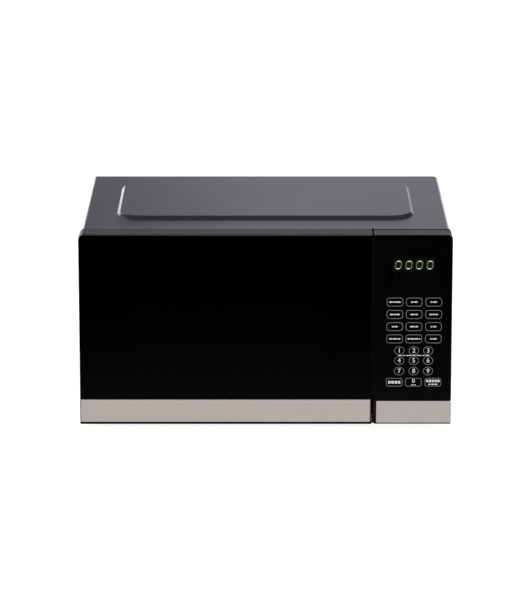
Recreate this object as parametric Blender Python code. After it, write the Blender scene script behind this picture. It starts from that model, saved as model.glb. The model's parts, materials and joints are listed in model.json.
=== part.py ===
"""Microwave oven: steel cabinet, hinged glass door with latch, turntable and electronics bay.

Run with: blender --background --python part.py

Lengths below are in millimetres and are turned into metres when a mesh is made. X runs to the
right, Y to the back, Z up. The origin is at the middle of the footprint, on the worktop.
"""

import math

import bmesh
import bpy
from mathutils import Matrix, Vector

MM = 0.001
GAP = 0.3  # running clearance between neighbouring solids

# Driving dimensions
WIDTH = 452.0
DEPTH = 352.0
HALF_W = WIDTH / 2
FASCIA_BOTTOM = 9.5
FASCIA_TOP = 245.0
CORNER_R = 6.0  # top corners of the door and the control panel
BUTTON_FACE_Y = -DEPTH / 2
FACE_Y = BUTTON_FACE_Y + 1.5  # front of the glass
GLASS_T = 3.2
FASCIA_REAR_Y = -135.5
STRIP_TOP = 39.7  # top of the steel strips
GLASS_BOTTOM = 40.1

# Cabinet
SHEET = 0.7
COVER_T = 0.6
COVER_HALF_W = 225.0
COVER_TOP = 244.6
COVER_BEND_R = 5.0
EMBOSS_H = 3.4
PLATE_Y = -134.0  # front of the front plate
COVER_REAR_Y = 174.0
SHELL_HALF_W = COVER_HALF_W - COVER_T - GAP
SHELL_TOP = COVER_TOP - COVER_T - GAP
BACK_PLATE_Y = COVER_REAR_Y - COVER_T - GAP - SHEET
BASE_Z = FASCIA_BOTTOM
EMBOSS_X = (-183.4, 183.4)
EMBOSS_Y = (-81.6, 125.6)
EMBOSS_R = 30.0
EMBOSS_SLOPE = 3.2  # width of the raised panel's sloping rim
FLANGE = 14.0  # the cover's rear edge, folded inwards
VENT_PITCH = 9.0
VENT_SIZE = (3.5, 14.0)
LEFT_VENTS = ((66, 150), (166, 186))  # Y range, bottom of each row
RIGHT_VENTS = ((-112, -28), (44, 64))
GLAND = (196.0, 42.0)
FOOT_PLACES = ((-178.0, -118.0), (178.0, -118.0), (-178.0, 142.0), (178.0, 142.0))

# Cavity
CAVITY_X = (-203.0, 99.0)
CAVITY_Y = (PLATE_Y + SHEET + GAP, 150.0)
CAVITY_Z = (33.0, 226.0)
CAVITY_MID_X = sum(CAVITY_X) / 2
CAVITY_R = 5.0
BAY_X = CAVITY_X[1] + SHEET + GAP  # left side of the electronics bay

# Door
DOOR_X = (-HALF_W, 129.5)
PANEL_X = (131.5, HALF_W)
WALL = 2.5
HINGE_X = -217.0
HINGE_Y = -145.5
HINGE_PLATE_T = 2.0
HINGE_PLATES = (("lower_hinge", 12.0, 1), ("upper_hinge", 238.5, -1))
HINGE_PIN_R = 2.5
HINGE_PIN_LENGTH = 12.0
HINGE_TAB_HALF_W = 5.0
DOOR_AXIS = (HINGE_X, HINGE_Y, 0.0)
DOOR_INSIDE_X = (-207.5, DOOR_X[1] - WALL)  # the stile to the left is solid
WINDOW_X = (-175.0, 71.0)
WINDOW_Z = (60.0, 199.0)
CHOKE_OUT = 30.0  # from the window to the choke frame's outer wall

# Latch: two hooks that slide up together when the release lever turns
HOOK_X = (114.5, 118.5)
HOOK_Z = (60.0, 184.0)
HOOK_H = 6.0
HOOK_TIP_Y = -104.0
BARB = 3.6
LATCH_TRAVEL = 4.4
LIFT_PLAY = 0.8  # between the lever's lift arm and the latch's peg at rest
LEVER_Y = -126.0
LEVER_Z = 52.0
LEVER_DROP = 20.0  # from the lever's axis down to the button's rod
ROD_X = (134.5, 139.5)
SPRING_SEAT_Y = -149.0

# Turntable
TURN_X = CAVITY_MID_X
TURN_Y = 8.5
ROLLER_R = 7.5
ROLLER_TRACK_R = 99.0
ROLLER_COUNT = 3
TRAY_R = 122.5
ROLLER_Z = CAVITY_Z[0] + GAP + ROLLER_R
TRAY_BOTTOM = ROLLER_Z + ROLLER_R + GAP

# Electronics bay
FAN_X = 163.0
FAN_Z = 165.0
FAN_R = 46.0
FAN_BLADES = 5
TUBE_Y = -10.0  # magnetron axis
TUBE_Z = 182.0
TRANSFORMER_X = (130.0, 190.0)
TRANSFORMER_Y = -25.5
SCREW_PLACES = ((-218.0, 60.0), (-218.0, 200.0), (218.0, 60.0), (218.0, 200.0))

# Colour, roughness, metallic
FINISHES = {
    "graphite_paint": ((0.13, 0.13, 0.15), 0.38, 0.35),
    "grey_steel": ((0.42, 0.42, 0.43), 0.4, 0.9),
    "white_enamel": ((0.6, 0.6, 0.58), 0.3, 0.0),
    "black_plastic": ((0.03, 0.03, 0.034), 0.45, 0.0),
    "black_gloss": ((0.005, 0.005, 0.006), 0.06, 0.0),
    "brushed_steel": ((0.56, 0.53, 0.51), 0.32, 1.0),
    "clear_glass": ((0.8, 0.85, 0.84), 0.03, 0.0),
    "smoked_film": ((0.02, 0.02, 0.02), 0.1, 0.0),
    "dark_steel": ((0.06, 0.06, 0.06), 0.4, 0.6),
    "white_plastic": ((0.75, 0.74, 0.7), 0.5, 0.0),
    "mica": ((0.55, 0.47, 0.36), 0.7, 0.0),
    "rubber": ((0.02, 0.02, 0.02), 0.8, 0.0),
    "aluminium": ((0.6, 0.6, 0.61), 0.35, 1.0),
    "copper": ((0.6, 0.28, 0.12), 0.35, 1.0),
    "lamination": ((0.22, 0.22, 0.23), 0.5, 0.8),
    "spring_steel": ((0.6, 0.6, 0.6), 0.25, 1.0),
    "circuit_board": ((0.35, 0.24, 0.1), 0.6, 0.0),
    "lit_display": ((0.05, 0.12, 0.05), 0.2, 0.0),
    "bulb_glass": ((0.85, 0.83, 0.75), 0.1, 0.0),
}


def clear_scene():
    for obj in list(bpy.data.objects):
        bpy.data.objects.remove(obj)


# Shapes: each is a list of points in millimetres and a list of faces


def grown(span, by):
    return (span[0] - by, span[1] + by)


def placed(axis, u, v, w):
    """The point at (u, v) in the plane across the axis and w along it."""
    return {"x": (w, u, v), "y": (u, w, v), "z": (u, v, w)}[axis]


def box(x, y, z):
    outline = [(x[0], y[0]), (x[1], y[0]), (x[1], y[1]), (x[0], y[1])]
    return prism(outline, "z", z)


def loft(loops):
    """A closed solid through loops of equally many points, capped at both ends."""
    count = len(loops[0])
    points = [p for loop in loops for p in loop]
    faces = [list(range(count)), [len(points) - 1 - i for i in range(count)]]
    for row in range(len(loops) - 1):
        for i in range(count):
            j = (i + 1) % count
            base = row * count
            faces.append([base + i, base + j, base + count + j, base + count + i])
    return points, faces


def prism(outline, axis, span):
    return loft([[placed(axis, u, v, w) for u, v in outline] for w in span])


def hollow(outer, inner, axis, span):
    """A tube whose outer and inner outlines have equally many points."""
    count = len(outer)
    rings = ((outer, span[0]), (outer, span[1]), (inner, span[1]), (inner, span[0]))
    points = [placed(axis, u, v, w) for outline, w in rings for u, v in outline]
    faces = []
    for ring in range(4):
        after = (ring + 1) % 4
        for i in range(count):
            j = (i + 1) % count
            faces.append([ring * count + i, ring * count + j, after * count + j, after * count + i])
    return points, faces


def arc(centre, radius, start, end, steps):
    """Points on an arc; angles in degrees."""
    angles = [math.radians(start + (end - start) * i / steps) for i in range(steps + 1)]
    return [(centre[0] + radius * math.cos(a), centre[1] + radius * math.sin(a)) for a in angles]


def rounded(u, v, radii, steps=5):
    """A rectangle with rounded corners: radii in the order low-low, high-low, high-high, low-high."""
    if not isinstance(radii, (tuple, list)):
        radii = (radii,) * 4
    corners = ((u[0], v[0], 1, 1), (u[1], v[0], -1, 1), (u[1], v[1], -1, -1), (u[0], v[1], 1, -1))
    outline = []
    for index, (cu, cv, su, sv) in enumerate(corners):
        r = radii[index]
        if r == 0:
            outline.append((cu, cv))
            continue
        outline += arc((cu + su * r, cv + sv * r), r, 180 + 90 * index, 270 + 90 * index, steps)
    return outline


def circle(centre, radius, sides):
    return arc(centre, radius, 0, 360 - 360 / sides, sides - 1)


def cylinder(axis, centre, radius, span, sides=24):
    return prism(circle(centre, radius, sides), axis, span)


def pipe(axis, centre, radii, span, sides=24):
    return hollow(circle(centre, radii[1], sides), circle(centre, radii[0], sides), axis, span)


def turned(profile, axis, centre, sides=32):
    """A solid of revolution from (radius, height) points that start and end on the axis."""
    loops = [[placed(axis, centre[0], centre[1], profile[0][1])]]
    for radius, height in profile[1:-1]:
        ring = circle(centre, radius, sides)
        loops.append([placed(axis, u, v, height) for u, v in ring])
    points = loops[0] + [p for loop in loops[1:] for p in loop]
    points.append(placed(axis, centre[0], centre[1], profile[-1][1]))
    last = len(points) - 1
    faces = []
    for i in range(sides):
        j = (i + 1) % sides
        faces.append([0, 1 + j, 1 + i])
        for row in range(len(loops) - 2):
            base = 1 + row * sides
            faces.append([base + i, base + j, base + sides + j, base + sides + i])
        base = 1 + (len(loops) - 2) * sides
        faces.append([base + i, base + j, last])
    return points, faces


def moved(shape, matrix):
    points, faces = shape
    return [tuple(matrix @ Vector(p)) for p in points], faces


def joined(shapes):
    """Shapes that don't touch each other, as one list of points and faces."""
    points, faces = [], []
    for more_points, more_faces in shapes:
        offset = len(points)
        points += more_points
        faces += [[i + offset for i in face] for face in more_faces]
    return points, faces


# Objects


def finish_material(finish):
    material = bpy.data.materials.get(finish)
    if material is None:
        colour, roughness, metallic = FINISHES[finish]
        material = bpy.data.materials.new(finish)
        material.use_nodes = True
        shader = material.node_tree.nodes["Principled BSDF"]
        shader.inputs["Base Color"].default_value = (*colour, 1.0)
        shader.inputs["Roughness"].default_value = roughness
        shader.inputs["Metallic"].default_value = metallic
    return material


def mesh_object(name, shape, origin):
    points, faces = shape
    bm = bmesh.new()
    verts = [bm.verts.new([(p[k] - origin[k]) * MM for k in range(3)]) for p in points]
    for face in faces:
        bm.faces.new([verts[i] for i in face])
    bmesh.ops.recalc_face_normals(bm, faces=bm.faces)
    mesh = bpy.data.meshes.new(name)
    bm.to_mesh(mesh)
    bm.free()
    obj = bpy.data.objects.new(name, mesh)
    obj.location = [c * MM for c in origin]
    bpy.context.scene.collection.objects.link(obj)
    return obj


def solid(name, finish, shape, plus=(), minus=(), origin=(0, 0, 0), smooth=0):
    """A named solid: a shape joined with the plus shapes and then cut by the minus shapes."""
    obj = mesh_object(name, shape, origin)
    obj.data.materials.append(finish_material(finish))
    for operation, tools in (("UNION", plus), ("DIFFERENCE", minus)):
        for index, tool_shape in enumerate(tools):
            tool = mesh_object(f"{name}_{operation.lower()}_{index}", tool_shape, (0, 0, 0))
            tool.hide_render = True
            tool.display_type = "WIRE"
            modifier = obj.modifiers.new(tool.name, "BOOLEAN")
            modifier.operation = operation
            modifier.object = tool
    if smooth:
        obj.data.shade_smooth()
        obj.data.set_sharp_from_angle(angle=math.radians(smooth))
    return obj


# Cabinet


def cover_path(offset, bottom):
    """The bent sheet's line across the front, offset inwards, from the left foot to the right foot."""
    half = COVER_HALF_W - offset
    top = COVER_TOP - offset
    r = COVER_BEND_R - min(offset, COVER_BEND_R - 0.5)
    return (
        [(-half, bottom)]
        + arc((-half + r, top - r), r, 180, 90, 5)
        + arc((half - r, top - r), r, 90, 0, 5)
        + [(half, bottom)]
    )


def emboss(low, high, shrink):
    """The raised panel on the cover between two heights; its sides slope inwards as they rise."""
    slope = EMBOSS_SLOPE / EMBOSS_H
    loops = []
    for z in (low, high):
        inset = (z - COVER_TOP) * slope + shrink
        outline = rounded(grown(EMBOSS_X, -inset), grown(EMBOSS_Y, -inset), EMBOSS_R - inset, steps=6)
        loops.append([(x, y, z) for x, y in outline])
    return loft(loops)


def vent_slots(x, y, z_rows):
    """Slots through a side wall in rows, one box for each slot."""
    width, height = VENT_SIZE
    slots = []
    for z in z_rows:
        place = y[0]
        while place + width <= y[1]:
            slots.append(box(x, (place, place + width), (z, z + height)))
            place += VENT_PITCH
    return joined(slots)


def make_outer_cover():
    bottom = BASE_Z + GAP
    sheet = cover_path(0, bottom) + list(reversed(cover_path(COVER_T, bottom)))
    flange = cover_path(0, bottom) + list(reversed(cover_path(FLANGE, bottom)))
    screw_holes = [cylinder("y", place, 2.4, (170, 180), 12) for place in SCREW_PLACES]
    solid(
        "outer_cover",
        "graphite_paint",
        prism(sheet, "y", (PLATE_Y, COVER_REAR_Y)),
        plus=[
            prism(flange, "y", (COVER_REAR_Y - COVER_T, COVER_REAR_Y)),
            emboss(COVER_TOP - COVER_T / 2, COVER_TOP + EMBOSS_H, 0.0),
        ],
        minus=[
            emboss(COVER_TOP - 2 * COVER_T, COVER_TOP + EMBOSS_H - COVER_T, 0.6),
            vent_slots(grown((-COVER_HALF_W,) * 2, 5), *LEFT_VENTS),
            vent_slots(grown((COVER_HALF_W,) * 2, 5), *RIGHT_VENTS),
            joined(screw_holes),
        ],
    )


def make_base_plate():
    y = (PLATE_Y + SHEET + GAP, BACK_PLATE_Y - GAP)
    half = SHELL_HALF_W
    tray = box((-half, half), y, (BASE_Z, BASE_Z + 13))
    scoop = box((-half + SHEET, half - SHEET), (y[0] - 5, y[1] + 5), (BASE_Z + SHEET, BASE_Z + 20))
    holes = [cylinder("z", place, 4.0, (0, 20), 16) for place in FOOT_PLACES]
    intake = [box((x, x + 4), (-40, 0), (0, 15)) for x in range(-10, 75, 9)]
    solid("base_plate", "grey_steel", tray, minus=[scoop, joined(holes), joined(intake)])


def make_feet():
    names = ("foot_front_left", "foot_front_right", "foot_rear_left", "foot_rear_right")
    profile = [(0, 0), (10.5, 0), (12, 2), (13, 9.2), (3.6, 9.2), (3.6, 15), (0, 15)]
    for name, place in zip(names, FOOT_PLACES):
        solid(name, "rubber", turned(profile, "z", place, 16), smooth=40)


def shell_outline(steps=5):
    """The outline shared by the plates inside the cover."""
    half = SHELL_HALF_W
    bottom = BASE_Z + SHEET + GAP
    return rounded((-half, half), (bottom, SHELL_TOP), (0, 0, 5, 5), steps)


def make_back_plate():
    fan_slots = []
    for row in range(-3, 4):
        half = math.sqrt(44.0**2 - (row * 12.0) ** 2)
        z = FAN_Z + row * 12.0
        fan_slots.append(box((FAN_X - half, FAN_X - 2), (165, 180), (z - 2, z + 2)))
        fan_slots.append(box((FAN_X + 2, FAN_X + half), (165, 180), (z - 2, z + 2)))
    outlet = [box((x, x + 4), (165, 180), (196, 220)) for x in range(-180, -120, 10)]
    screw_holes = [cylinder("y", place, 1.9, (165, 180), 12) for place in SCREW_PLACES]
    solid(
        "back_plate",
        "grey_steel",
        prism(shell_outline(), "y", (BACK_PLATE_Y, BACK_PLATE_Y + SHEET)),
        minus=[
            joined(fan_slots),
            joined(outlet),
            joined(screw_holes),
            cylinder("y", GLAND, 8.3, (165, 180)),
        ],
    )


def make_cover_screws():
    head = COVER_REAR_Y + GAP
    back = DEPTH / 2
    profile = [(0, 164), (1.5, 165), (1.5, head), (3.8, head), (3.4, back), (0, back)]
    for index, place in enumerate(SCREW_PLACES):
        solid(f"cover_screw_{index + 1}", "spring_steel", turned(profile, "y", place, 12), smooth=40)


def make_cord_gland():
    flange = BACK_PLATE_Y + SHEET + GAP
    profile = [(0, 160), (8, 160), (8, flange), (11, flange), (11, 175), (9, 175.6), (0, 175.6)]
    cord_hole = cylinder("y", GLAND, 3.5, (150, 180), 16)
    solid("cord_gland", "black_plastic", turned(profile, "y", GLAND, 16), minus=[cord_hole], smooth=40)


def make_front_plate():
    slots = [box((113, 127.5), (-140, -130), (z - 6, z + 13)) for z in HOOK_Z]
    tab_x = (HINGE_X - HINGE_TAB_HALF_W - GAP, HINGE_X + HINGE_TAB_HALF_W + GAP)
    hinge_slots = [box(tab_x, (-140, -130), (z - GAP, z + HINGE_PLATE_T + GAP)) for _, z, _ in HINGE_PLATES]
    solid(
        "front_plate",
        "white_enamel",
        prism(shell_outline(), "y", (PLATE_Y, PLATE_Y + SHEET)),
        minus=[
            prism(rounded(CAVITY_X, CAVITY_Z, CAVITY_R), "y", (-140, -130)),
            joined(slots + hinge_slots),
            box((150, 214), (-140, -130), (64, 225)),
            box((133.5, 140.5), (-140, -130), (27, 37)),
        ],
    )


def hole_grid(axis, span, u, v, columns, rows, side):
    """Square holes in a grid centred on (u, v), one box for each hole."""
    holes = []
    for column in range(columns):
        for row in range(rows):
            cu = u + (column - (columns - 1) / 2) * side * 2
            cv = v + (row - (rows - 1) / 2) * side * 2
            outline = rounded((cu - side / 2, cu + side / 2), (cv - side / 2, cv + side / 2), 0)
            holes.append(prism(outline, axis, span))
    return joined(holes)


def make_cavity_box():
    x, y, z = CAVITY_X, CAVITY_Y, CAVITY_Z
    outer = rounded((x[0] - SHEET, x[1] + SHEET), (z[0] - SHEET, z[1] + SHEET), CAVITY_R + SHEET)
    solid(
        "cavity_box",
        "white_enamel",
        prism(outer, "y", (y[0], y[1] + SHEET)),
        minus=[
            prism(rounded(x, z, CAVITY_R), "y", (y[0] - 10, y[1])),
            cylinder("z", (TURN_X, TURN_Y), 6.0, (20, 40)),
            box((95, 105), (-45, 30), (162, 206)),
            hole_grid("x", (95, 105), 100, 205, 3, 3, 4.0),
            hole_grid("x", (95, 105), -96, 190, 3, 4, 4.0),
            hole_grid("y", (145, 155), -140, 208, 6, 2, 4.0),
        ],
    )


def make_hinges():
    """Each hinge is a tab through the front plate with a pin that points into the door."""
    for name, z, towards in HINGE_PLATES:
        plate = (z, z + HINGE_PLATE_T)
        tab_x = (HINGE_X - HINGE_TAB_HALF_W, HINGE_X + HINGE_TAB_HALF_W)
        tab = rounded(tab_x, (HINGE_Y - HINGE_TAB_HALF_W, -120), (HINGE_TAB_HALF_W, HINGE_TAB_HALF_W, 0, 0))
        root = plate[1] if towards > 0 else plate[0]
        pin = sorted((root - towards * 0.5, root + towards * HINGE_PIN_LENGTH))
        flange = sorted((root - towards * 0.5, root + towards * 26))
        weld_y = PLATE_Y + SHEET + GAP
        solid(
            name,
            "grey_steel",
            prism(tab, "z", plate),
            plus=[
                cylinder("z", (HINGE_X, HINGE_Y), HINGE_PIN_R, pin),
                box(tab_x, (weld_y, weld_y + 2), flange),
            ],
        )


# Cavity fittings


def make_turntable():
    centre = (TURN_X, TURN_Y)
    floor = CAVITY_Z[0]
    shaft_top = 43.0
    motor_top = floor - SHEET - GAP
    solid(
        "turntable_motor",
        "grey_steel",
        cylinder("z", centre, 24.5, (motor_top - 16, motor_top), 32),
        plus=[
            box((TURN_X - 34, TURN_X + 34), (TURN_Y - 6, TURN_Y + 6), (motor_top - 1, motor_top)),
            cylinder("z", centre, 3.0, (motor_top - 1, shaft_top), 16),
        ],
    )
    arms = []
    for index in range(ROLLER_COUNT):
        turn = Matrix.Translation((*centre, 0)) @ Matrix.Rotation(index * 2 * math.pi / ROLLER_COUNT, 4, "Z")
        arms.append(moved(box((4, 21), (-4.5, 4.5), (41, TRAY_BOTTOM - GAP)), turn))
    solid(
        "turntable_coupler",
        "white_plastic",
        cylinder("z", centre, 9.5, (floor + 0.5, TRAY_BOTTOM - GAP)),
        plus=arms,
        minus=[cylinder("z", centre, 3.0 + GAP, (floor - 1, shaft_top + GAP), 16)],
        origin=(*centre, floor),
    )
    make_tray(centre)
    make_roller_ring(centre)


def make_tray(centre):
    bottom = TRAY_BOTTOM
    profile = [
        (0, bottom),
        (107, bottom),
        (112, bottom + 1.2),
        (120, bottom + 7.5),
        (TRAY_R, bottom + 8.5),
        (TRAY_R, bottom + 11),
        (119, bottom + 11),
        (110, bottom + 5.2),
        (104, bottom + 4),
        (0, bottom + 4),
    ]
    lugs = []
    for index in range(ROLLER_COUNT):
        angle = (index + 0.5) * 2 * math.pi / ROLLER_COUNT
        turn = Matrix.Translation((*centre, 0)) @ Matrix.Rotation(angle, 4, "Z")
        lugs.append(moved(box((13, 19), (-5, 5), (bottom - 4.5, bottom + 1)), turn))
    solid(
        "glass_tray",
        "clear_glass",
        turned(profile, "z", centre, 48),
        plus=lugs,
        origin=(*centre, bottom),
        smooth=35,
    )


def make_roller_ring(centre):
    half_t = 2.5
    axle = (ROLLER_TRACK_R - 10, ROLLER_TRACK_R + 6)
    axles = []
    for index in range(ROLLER_COUNT):
        angle = index * 2 * math.pi / ROLLER_COUNT
        turn = Matrix.Translation((*centre, ROLLER_Z)) @ Matrix.Rotation(angle, 4, "Z")
        axles.append(moved(cylinder("x", (0, 0), 2.0, axle, 12), turn))
        roller = pipe("x", (0, 0), (2.0 + GAP, ROLLER_R), (ROLLER_TRACK_R - 4, ROLLER_TRACK_R + 4), 20)
        place = turn @ Vector((ROLLER_TRACK_R, 0, 0))
        solid(f"roller_{index + 1}", "white_plastic", moved(roller, turn), origin=tuple(place), smooth=40)
    solid(
        "roller_ring",
        "white_plastic",
        pipe("z", centre, (86, 92), (ROLLER_Z - half_t, ROLLER_Z + half_t), 36),
        plus=axles,
        origin=(*centre, ROLLER_Z),
        smooth=40,
    )


def make_waveguide():
    x = (BAY_X, BAY_X + 22)
    solid(
        "waveguide",
        "grey_steel",
        box(x, (-52, 46), (150, 216)),
        minus=[
            box((x[0] - 5, x[1] - SHEET), (-51, 45), (151, 215)),
            cylinder("x", (TUBE_Y, TUBE_Z), 12.0, (x[1] - 5, x[1] + 5)),
        ],
    )
    wall = CAVITY_X[1]
    cover = rounded((-50, 35), (157, 211), 4, 3)
    solid("waveguide_cover", "mica", prism(cover, "x", (wall - 1.0, wall - GAP)))


def make_magnetron():
    start = BAY_X + 22 + GAP
    yoke = (start + 2.4, start + 60)
    wall = 2.0
    profile = [
        (0, start - 18),
        (5, start - 18),
        (7.5, start - 15),
        (7.5, start),
        (11, start),
        (11, yoke[0] + wall + 1),
        (26, yoke[0] + wall + 1),
        (26, yoke[0] + wall + 11),
        (20, yoke[0] + wall + 11),
        (20, yoke[1] - wall - 12),
        (26, yoke[1] - wall - 12),
        (26, yoke[1] - wall - 2),
        (9, yoke[1] - wall - 2),
        (9, yoke[1] + 8),
        (0, yoke[1] + 8),
    ]
    centre = (TUBE_Y, TUBE_Z)
    fin_y, fin_z = (TUBE_Y - 34, TUBE_Y + 34), (TUBE_Z - 32, TUBE_Z + 32)
    fins = [box((x, x + 1), fin_y, fin_z) for x in range(143, 164, 5)]
    flange = box((start, start + 2), (TUBE_Y - 42, TUBE_Y + 42), (TUBE_Z - 34, TUBE_Z + 34))
    solid("magnetron_core", "grey_steel", turned(profile, "x", centre, 16), plus=[flange, joined(fins)])
    outer = rounded(yoke, (TUBE_Z - 40, TUBE_Z + 40), 4, 2)
    inner = rounded((yoke[0] + wall, yoke[1] - wall), (TUBE_Z - 38, TUBE_Z + 38), 2, 2)
    solid(
        "magnetron_yoke",
        "grey_steel",
        hollow(outer, inner, "y", (TUBE_Y - 42, TUBE_Y + 42)),
        minus=[
            cylinder("x", centre, 12.0, (yoke[0] - 5, yoke[0] + 5)),
            cylinder("x", centre, 10.0, (yoke[1] - 5, yoke[1] + 5)),
        ],
    )
    filter_x = (yoke[1] + GAP, yoke[1] + 30)
    connector_x = (filter_x[0] + 10, filter_x[0] + 20)
    solid(
        "magnetron_filter_box",
        "grey_steel",
        box(filter_x, (TUBE_Y - 28, TUBE_Y + 28), (TUBE_Z - 28, TUBE_Z + 28)),
        plus=[box(connector_x, (TUBE_Y - 40, TUBE_Y - 27), (TUBE_Z - 10, TUBE_Z + 10))],
        minus=[
            box((filter_x[0] + 1, filter_x[1] - 1), (TUBE_Y - 27, TUBE_Y + 27), (TUBE_Z - 27, TUBE_Z + 27)),
            cylinder("x", centre, 10.0, (filter_x[0] - 2, filter_x[0] + 2)),
        ],
    )


def make_transformer():
    """A shell core stands on its feet, with both windings round its middle limb."""
    y, bottom = TRANSFORMER_Y, BASE_Z + SHEET + GAP
    low = bottom + 2
    core = box(TRANSFORMER_X, (y - 42.5, y + 42.5), (low, low + 70))
    windows = [box((100, 220), side, (low + 14, low + 56)) for side in ((y - 28, y - 14), (y + 14, y + 28))]
    foot_bar = box((TRANSFORMER_X[0] + 5, TRANSFORMER_X[1] - 5), (y - 54, y + 54), (bottom, low + 1))
    solid("transformer_core", "lamination", core, plus=[foot_bar], minus=windows)
    limb = rounded((TRANSFORMER_X[0] - 0.4, TRANSFORMER_X[1] + 0.4), (y - 14.4, y + 14.4), 1, 2)
    coil = rounded((TRANSFORMER_X[0] - 13, TRANSFORMER_X[1] + 13), (y - 27.5, y + 27.5), 9, 2)
    for name, z in (("primary_winding", (low + 15, low + 34)), ("secondary_winding", (low + 36, low + 55))):
        solid(name, "copper", hollow(coil, limb, "z", z))


def make_bay_parts():
    bottom = BASE_Z + SHEET + GAP
    can = rounded((112, 164), (bottom, bottom + 34), 14, 4)
    tabs = [box((x, x + 6), (26, 35), (bottom + 14, bottom + 20)) for x in (124, 146)]
    solid("hv_capacitor", "aluminium", prism(can, "y", (34, 124)), plus=[joined(tabs)])
    body = [(0, 30), (0.8, 30), (0.8, 48), (3.2, 48), (3.2, 68), (0.8, 68), (0.8, 96), (0, 96)]
    solid("hv_diode", "black_plastic", turned(body, "y", (176, 34), 12), smooth=40)
    roof = CAVITY_Z[1] + SHEET + GAP
    cap = [(0, roof), (8, roof), (8, roof + 7), (6, roof + 9), (0, roof + 9)]
    ears = box((-32, 0), (57, 63), (roof, roof + 1))
    solid("thermal_cutout", "black_plastic", turned(cap, "z", (-16, 60), 24), plus=[ears], smooth=40)
    bulb = [(0, 103), (5, 104), (9, 108), (10.5, 114), (9, 121), (6, 126), (6, 138), (0, 138)]
    lamp = (100, 205)
    solid("cavity_lamp", "bulb_glass", turned(bulb, "x", lamp, 24), smooth=40)
    base = rounded((lamp[0] - 14, lamp[0] + 14), (lamp[1] - 12, lamp[1] + 12), 3, 2)
    arm = box((BAY_X, 142), (lamp[0] + 11, lamp[0] + 13), (lamp[1] - 10, lamp[1] + 10))
    solid(
        "lamp_socket",
        "white_plastic",
        prism(base, "x", (131, 146)),
        plus=[arm],
        minus=[cylinder("x", lamp, 6 + GAP, (120, 138 + GAP))],
    )


def make_fan():
    centre = (FAN_X, FAN_Z)
    y = (146.0, BACK_PLATE_Y - GAP)
    bar_y = y[0] - 3
    frame = rounded((FAN_X - 52, FAN_X + 52), (FAN_Z - 52, FAN_Z + 52), 6, 3)
    solid(
        "fan_shroud",
        "black_plastic",
        prism(frame, "y", y),
        plus=[box((FAN_X - 51, FAN_X + 51), (bar_y, y[0] + 1), (FAN_Z - 6, FAN_Z + 6))],
        minus=[
            cylinder("y", centre, 49.0, (y[0], y[1] + 5), 40),
            cylinder("y", centre, 5.0, (bar_y - 5, y[0] + 5)),
        ],
    )
    stack = (112.0, 134.0)
    pad_y = (stack[1] - 1, bar_y - GAP)
    pads = [box((x, x + 4), pad_y, (FAN_Z - 4, FAN_Z + 4)) for x in (FAN_X - 26, FAN_X + 22)]
    solid(
        "fan_motor",
        "lamination",
        box((FAN_X - 30, FAN_X + 30), stack, (FAN_Z - 22, FAN_Z + 22)),
        plus=[
            cylinder("y", centre, 15.0, (stack[0] - 6, stack[1] + 6)),
            cylinder("y", centre, 2.0, (stack[1], 163), 12),
            joined(pads),
        ],
    )
    hub_y = 159.0
    blades = []
    for index in range(FAN_BLADES):
        spoke = Matrix.Rotation(index * 2 * math.pi / FAN_BLADES, 4, "Y")
        pitch = Matrix.Rotation(math.radians(32), 4, "X")
        place = Matrix.Translation((FAN_X, hub_y, FAN_Z)) @ spoke @ pitch
        blades.append(moved(box((8, FAN_R), (-0.8, 0.8), (-11, 11)), place))
    solid(
        "cooling_fan",
        "white_plastic",
        cylinder("y", centre, 12.0, (hub_y - 8, hub_y + 8)),
        plus=blades,
        minus=[cylinder("y", centre, 2.0 + GAP, (140, 163 + GAP), 12)],
        origin=(FAN_X, hub_y, FAN_Z),
    )


# Latch and release


def make_latch_bracket():
    y = (PLATE_Y + SHEET + GAP, -130.2)
    plate = box((104, 145), y, (28.5, 206))
    wall = box((103.4, 106), (y[0], -74), (54, 206))
    ledges = [box((106 - 1, 120.3), (HOOK_TIP_Y - 17, HOOK_TIP_Y - 9), (z - 10, z - 0.4)) for z in HOOK_Z]
    ears = [box(x, (y[1] - 1, LEVER_Y + 5), (LEVER_Z - 6, LEVER_Z + 6)) for x in ((107, 110), (141, 144))]
    openings = [box((111, 128), (-140, -129), (z - 8, z + 13)) for z in HOOK_Z]
    solid(
        "latch_bracket",
        "white_plastic",
        plate,
        plus=[wall, joined(ledges), joined(ears)],
        minus=[
            joined(openings),
            box((133.5, 140.5), (-140, -128), (27, 37)),
            cylinder("x", (LEVER_Y, LEVER_Z), 3.0 + GAP, (106.2, 150)),
        ],
    )


def make_door_switches():
    for name, z in zip(("lower_door_switch", "upper_door_switch"), HOOK_Z):
        solid(
            name,
            "black_plastic",
            box((106 + GAP, 117), (HOOK_TIP_Y + 5, HOOK_TIP_Y + 32), (z - 6, z + 10)),
            plus=[
                box((114, 116.5), (HOOK_TIP_Y + 0.6, HOOK_TIP_Y + 6), (z + 1, z + 4)),
                box((110, 113), (HOOK_TIP_Y + 31, HOOK_TIP_Y + 38), (z - 4, z - 3)),
                box((110, 113), (HOOK_TIP_Y + 31, HOOK_TIP_Y + 38), (z + 5, z + 6)),
            ],
        )


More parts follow.
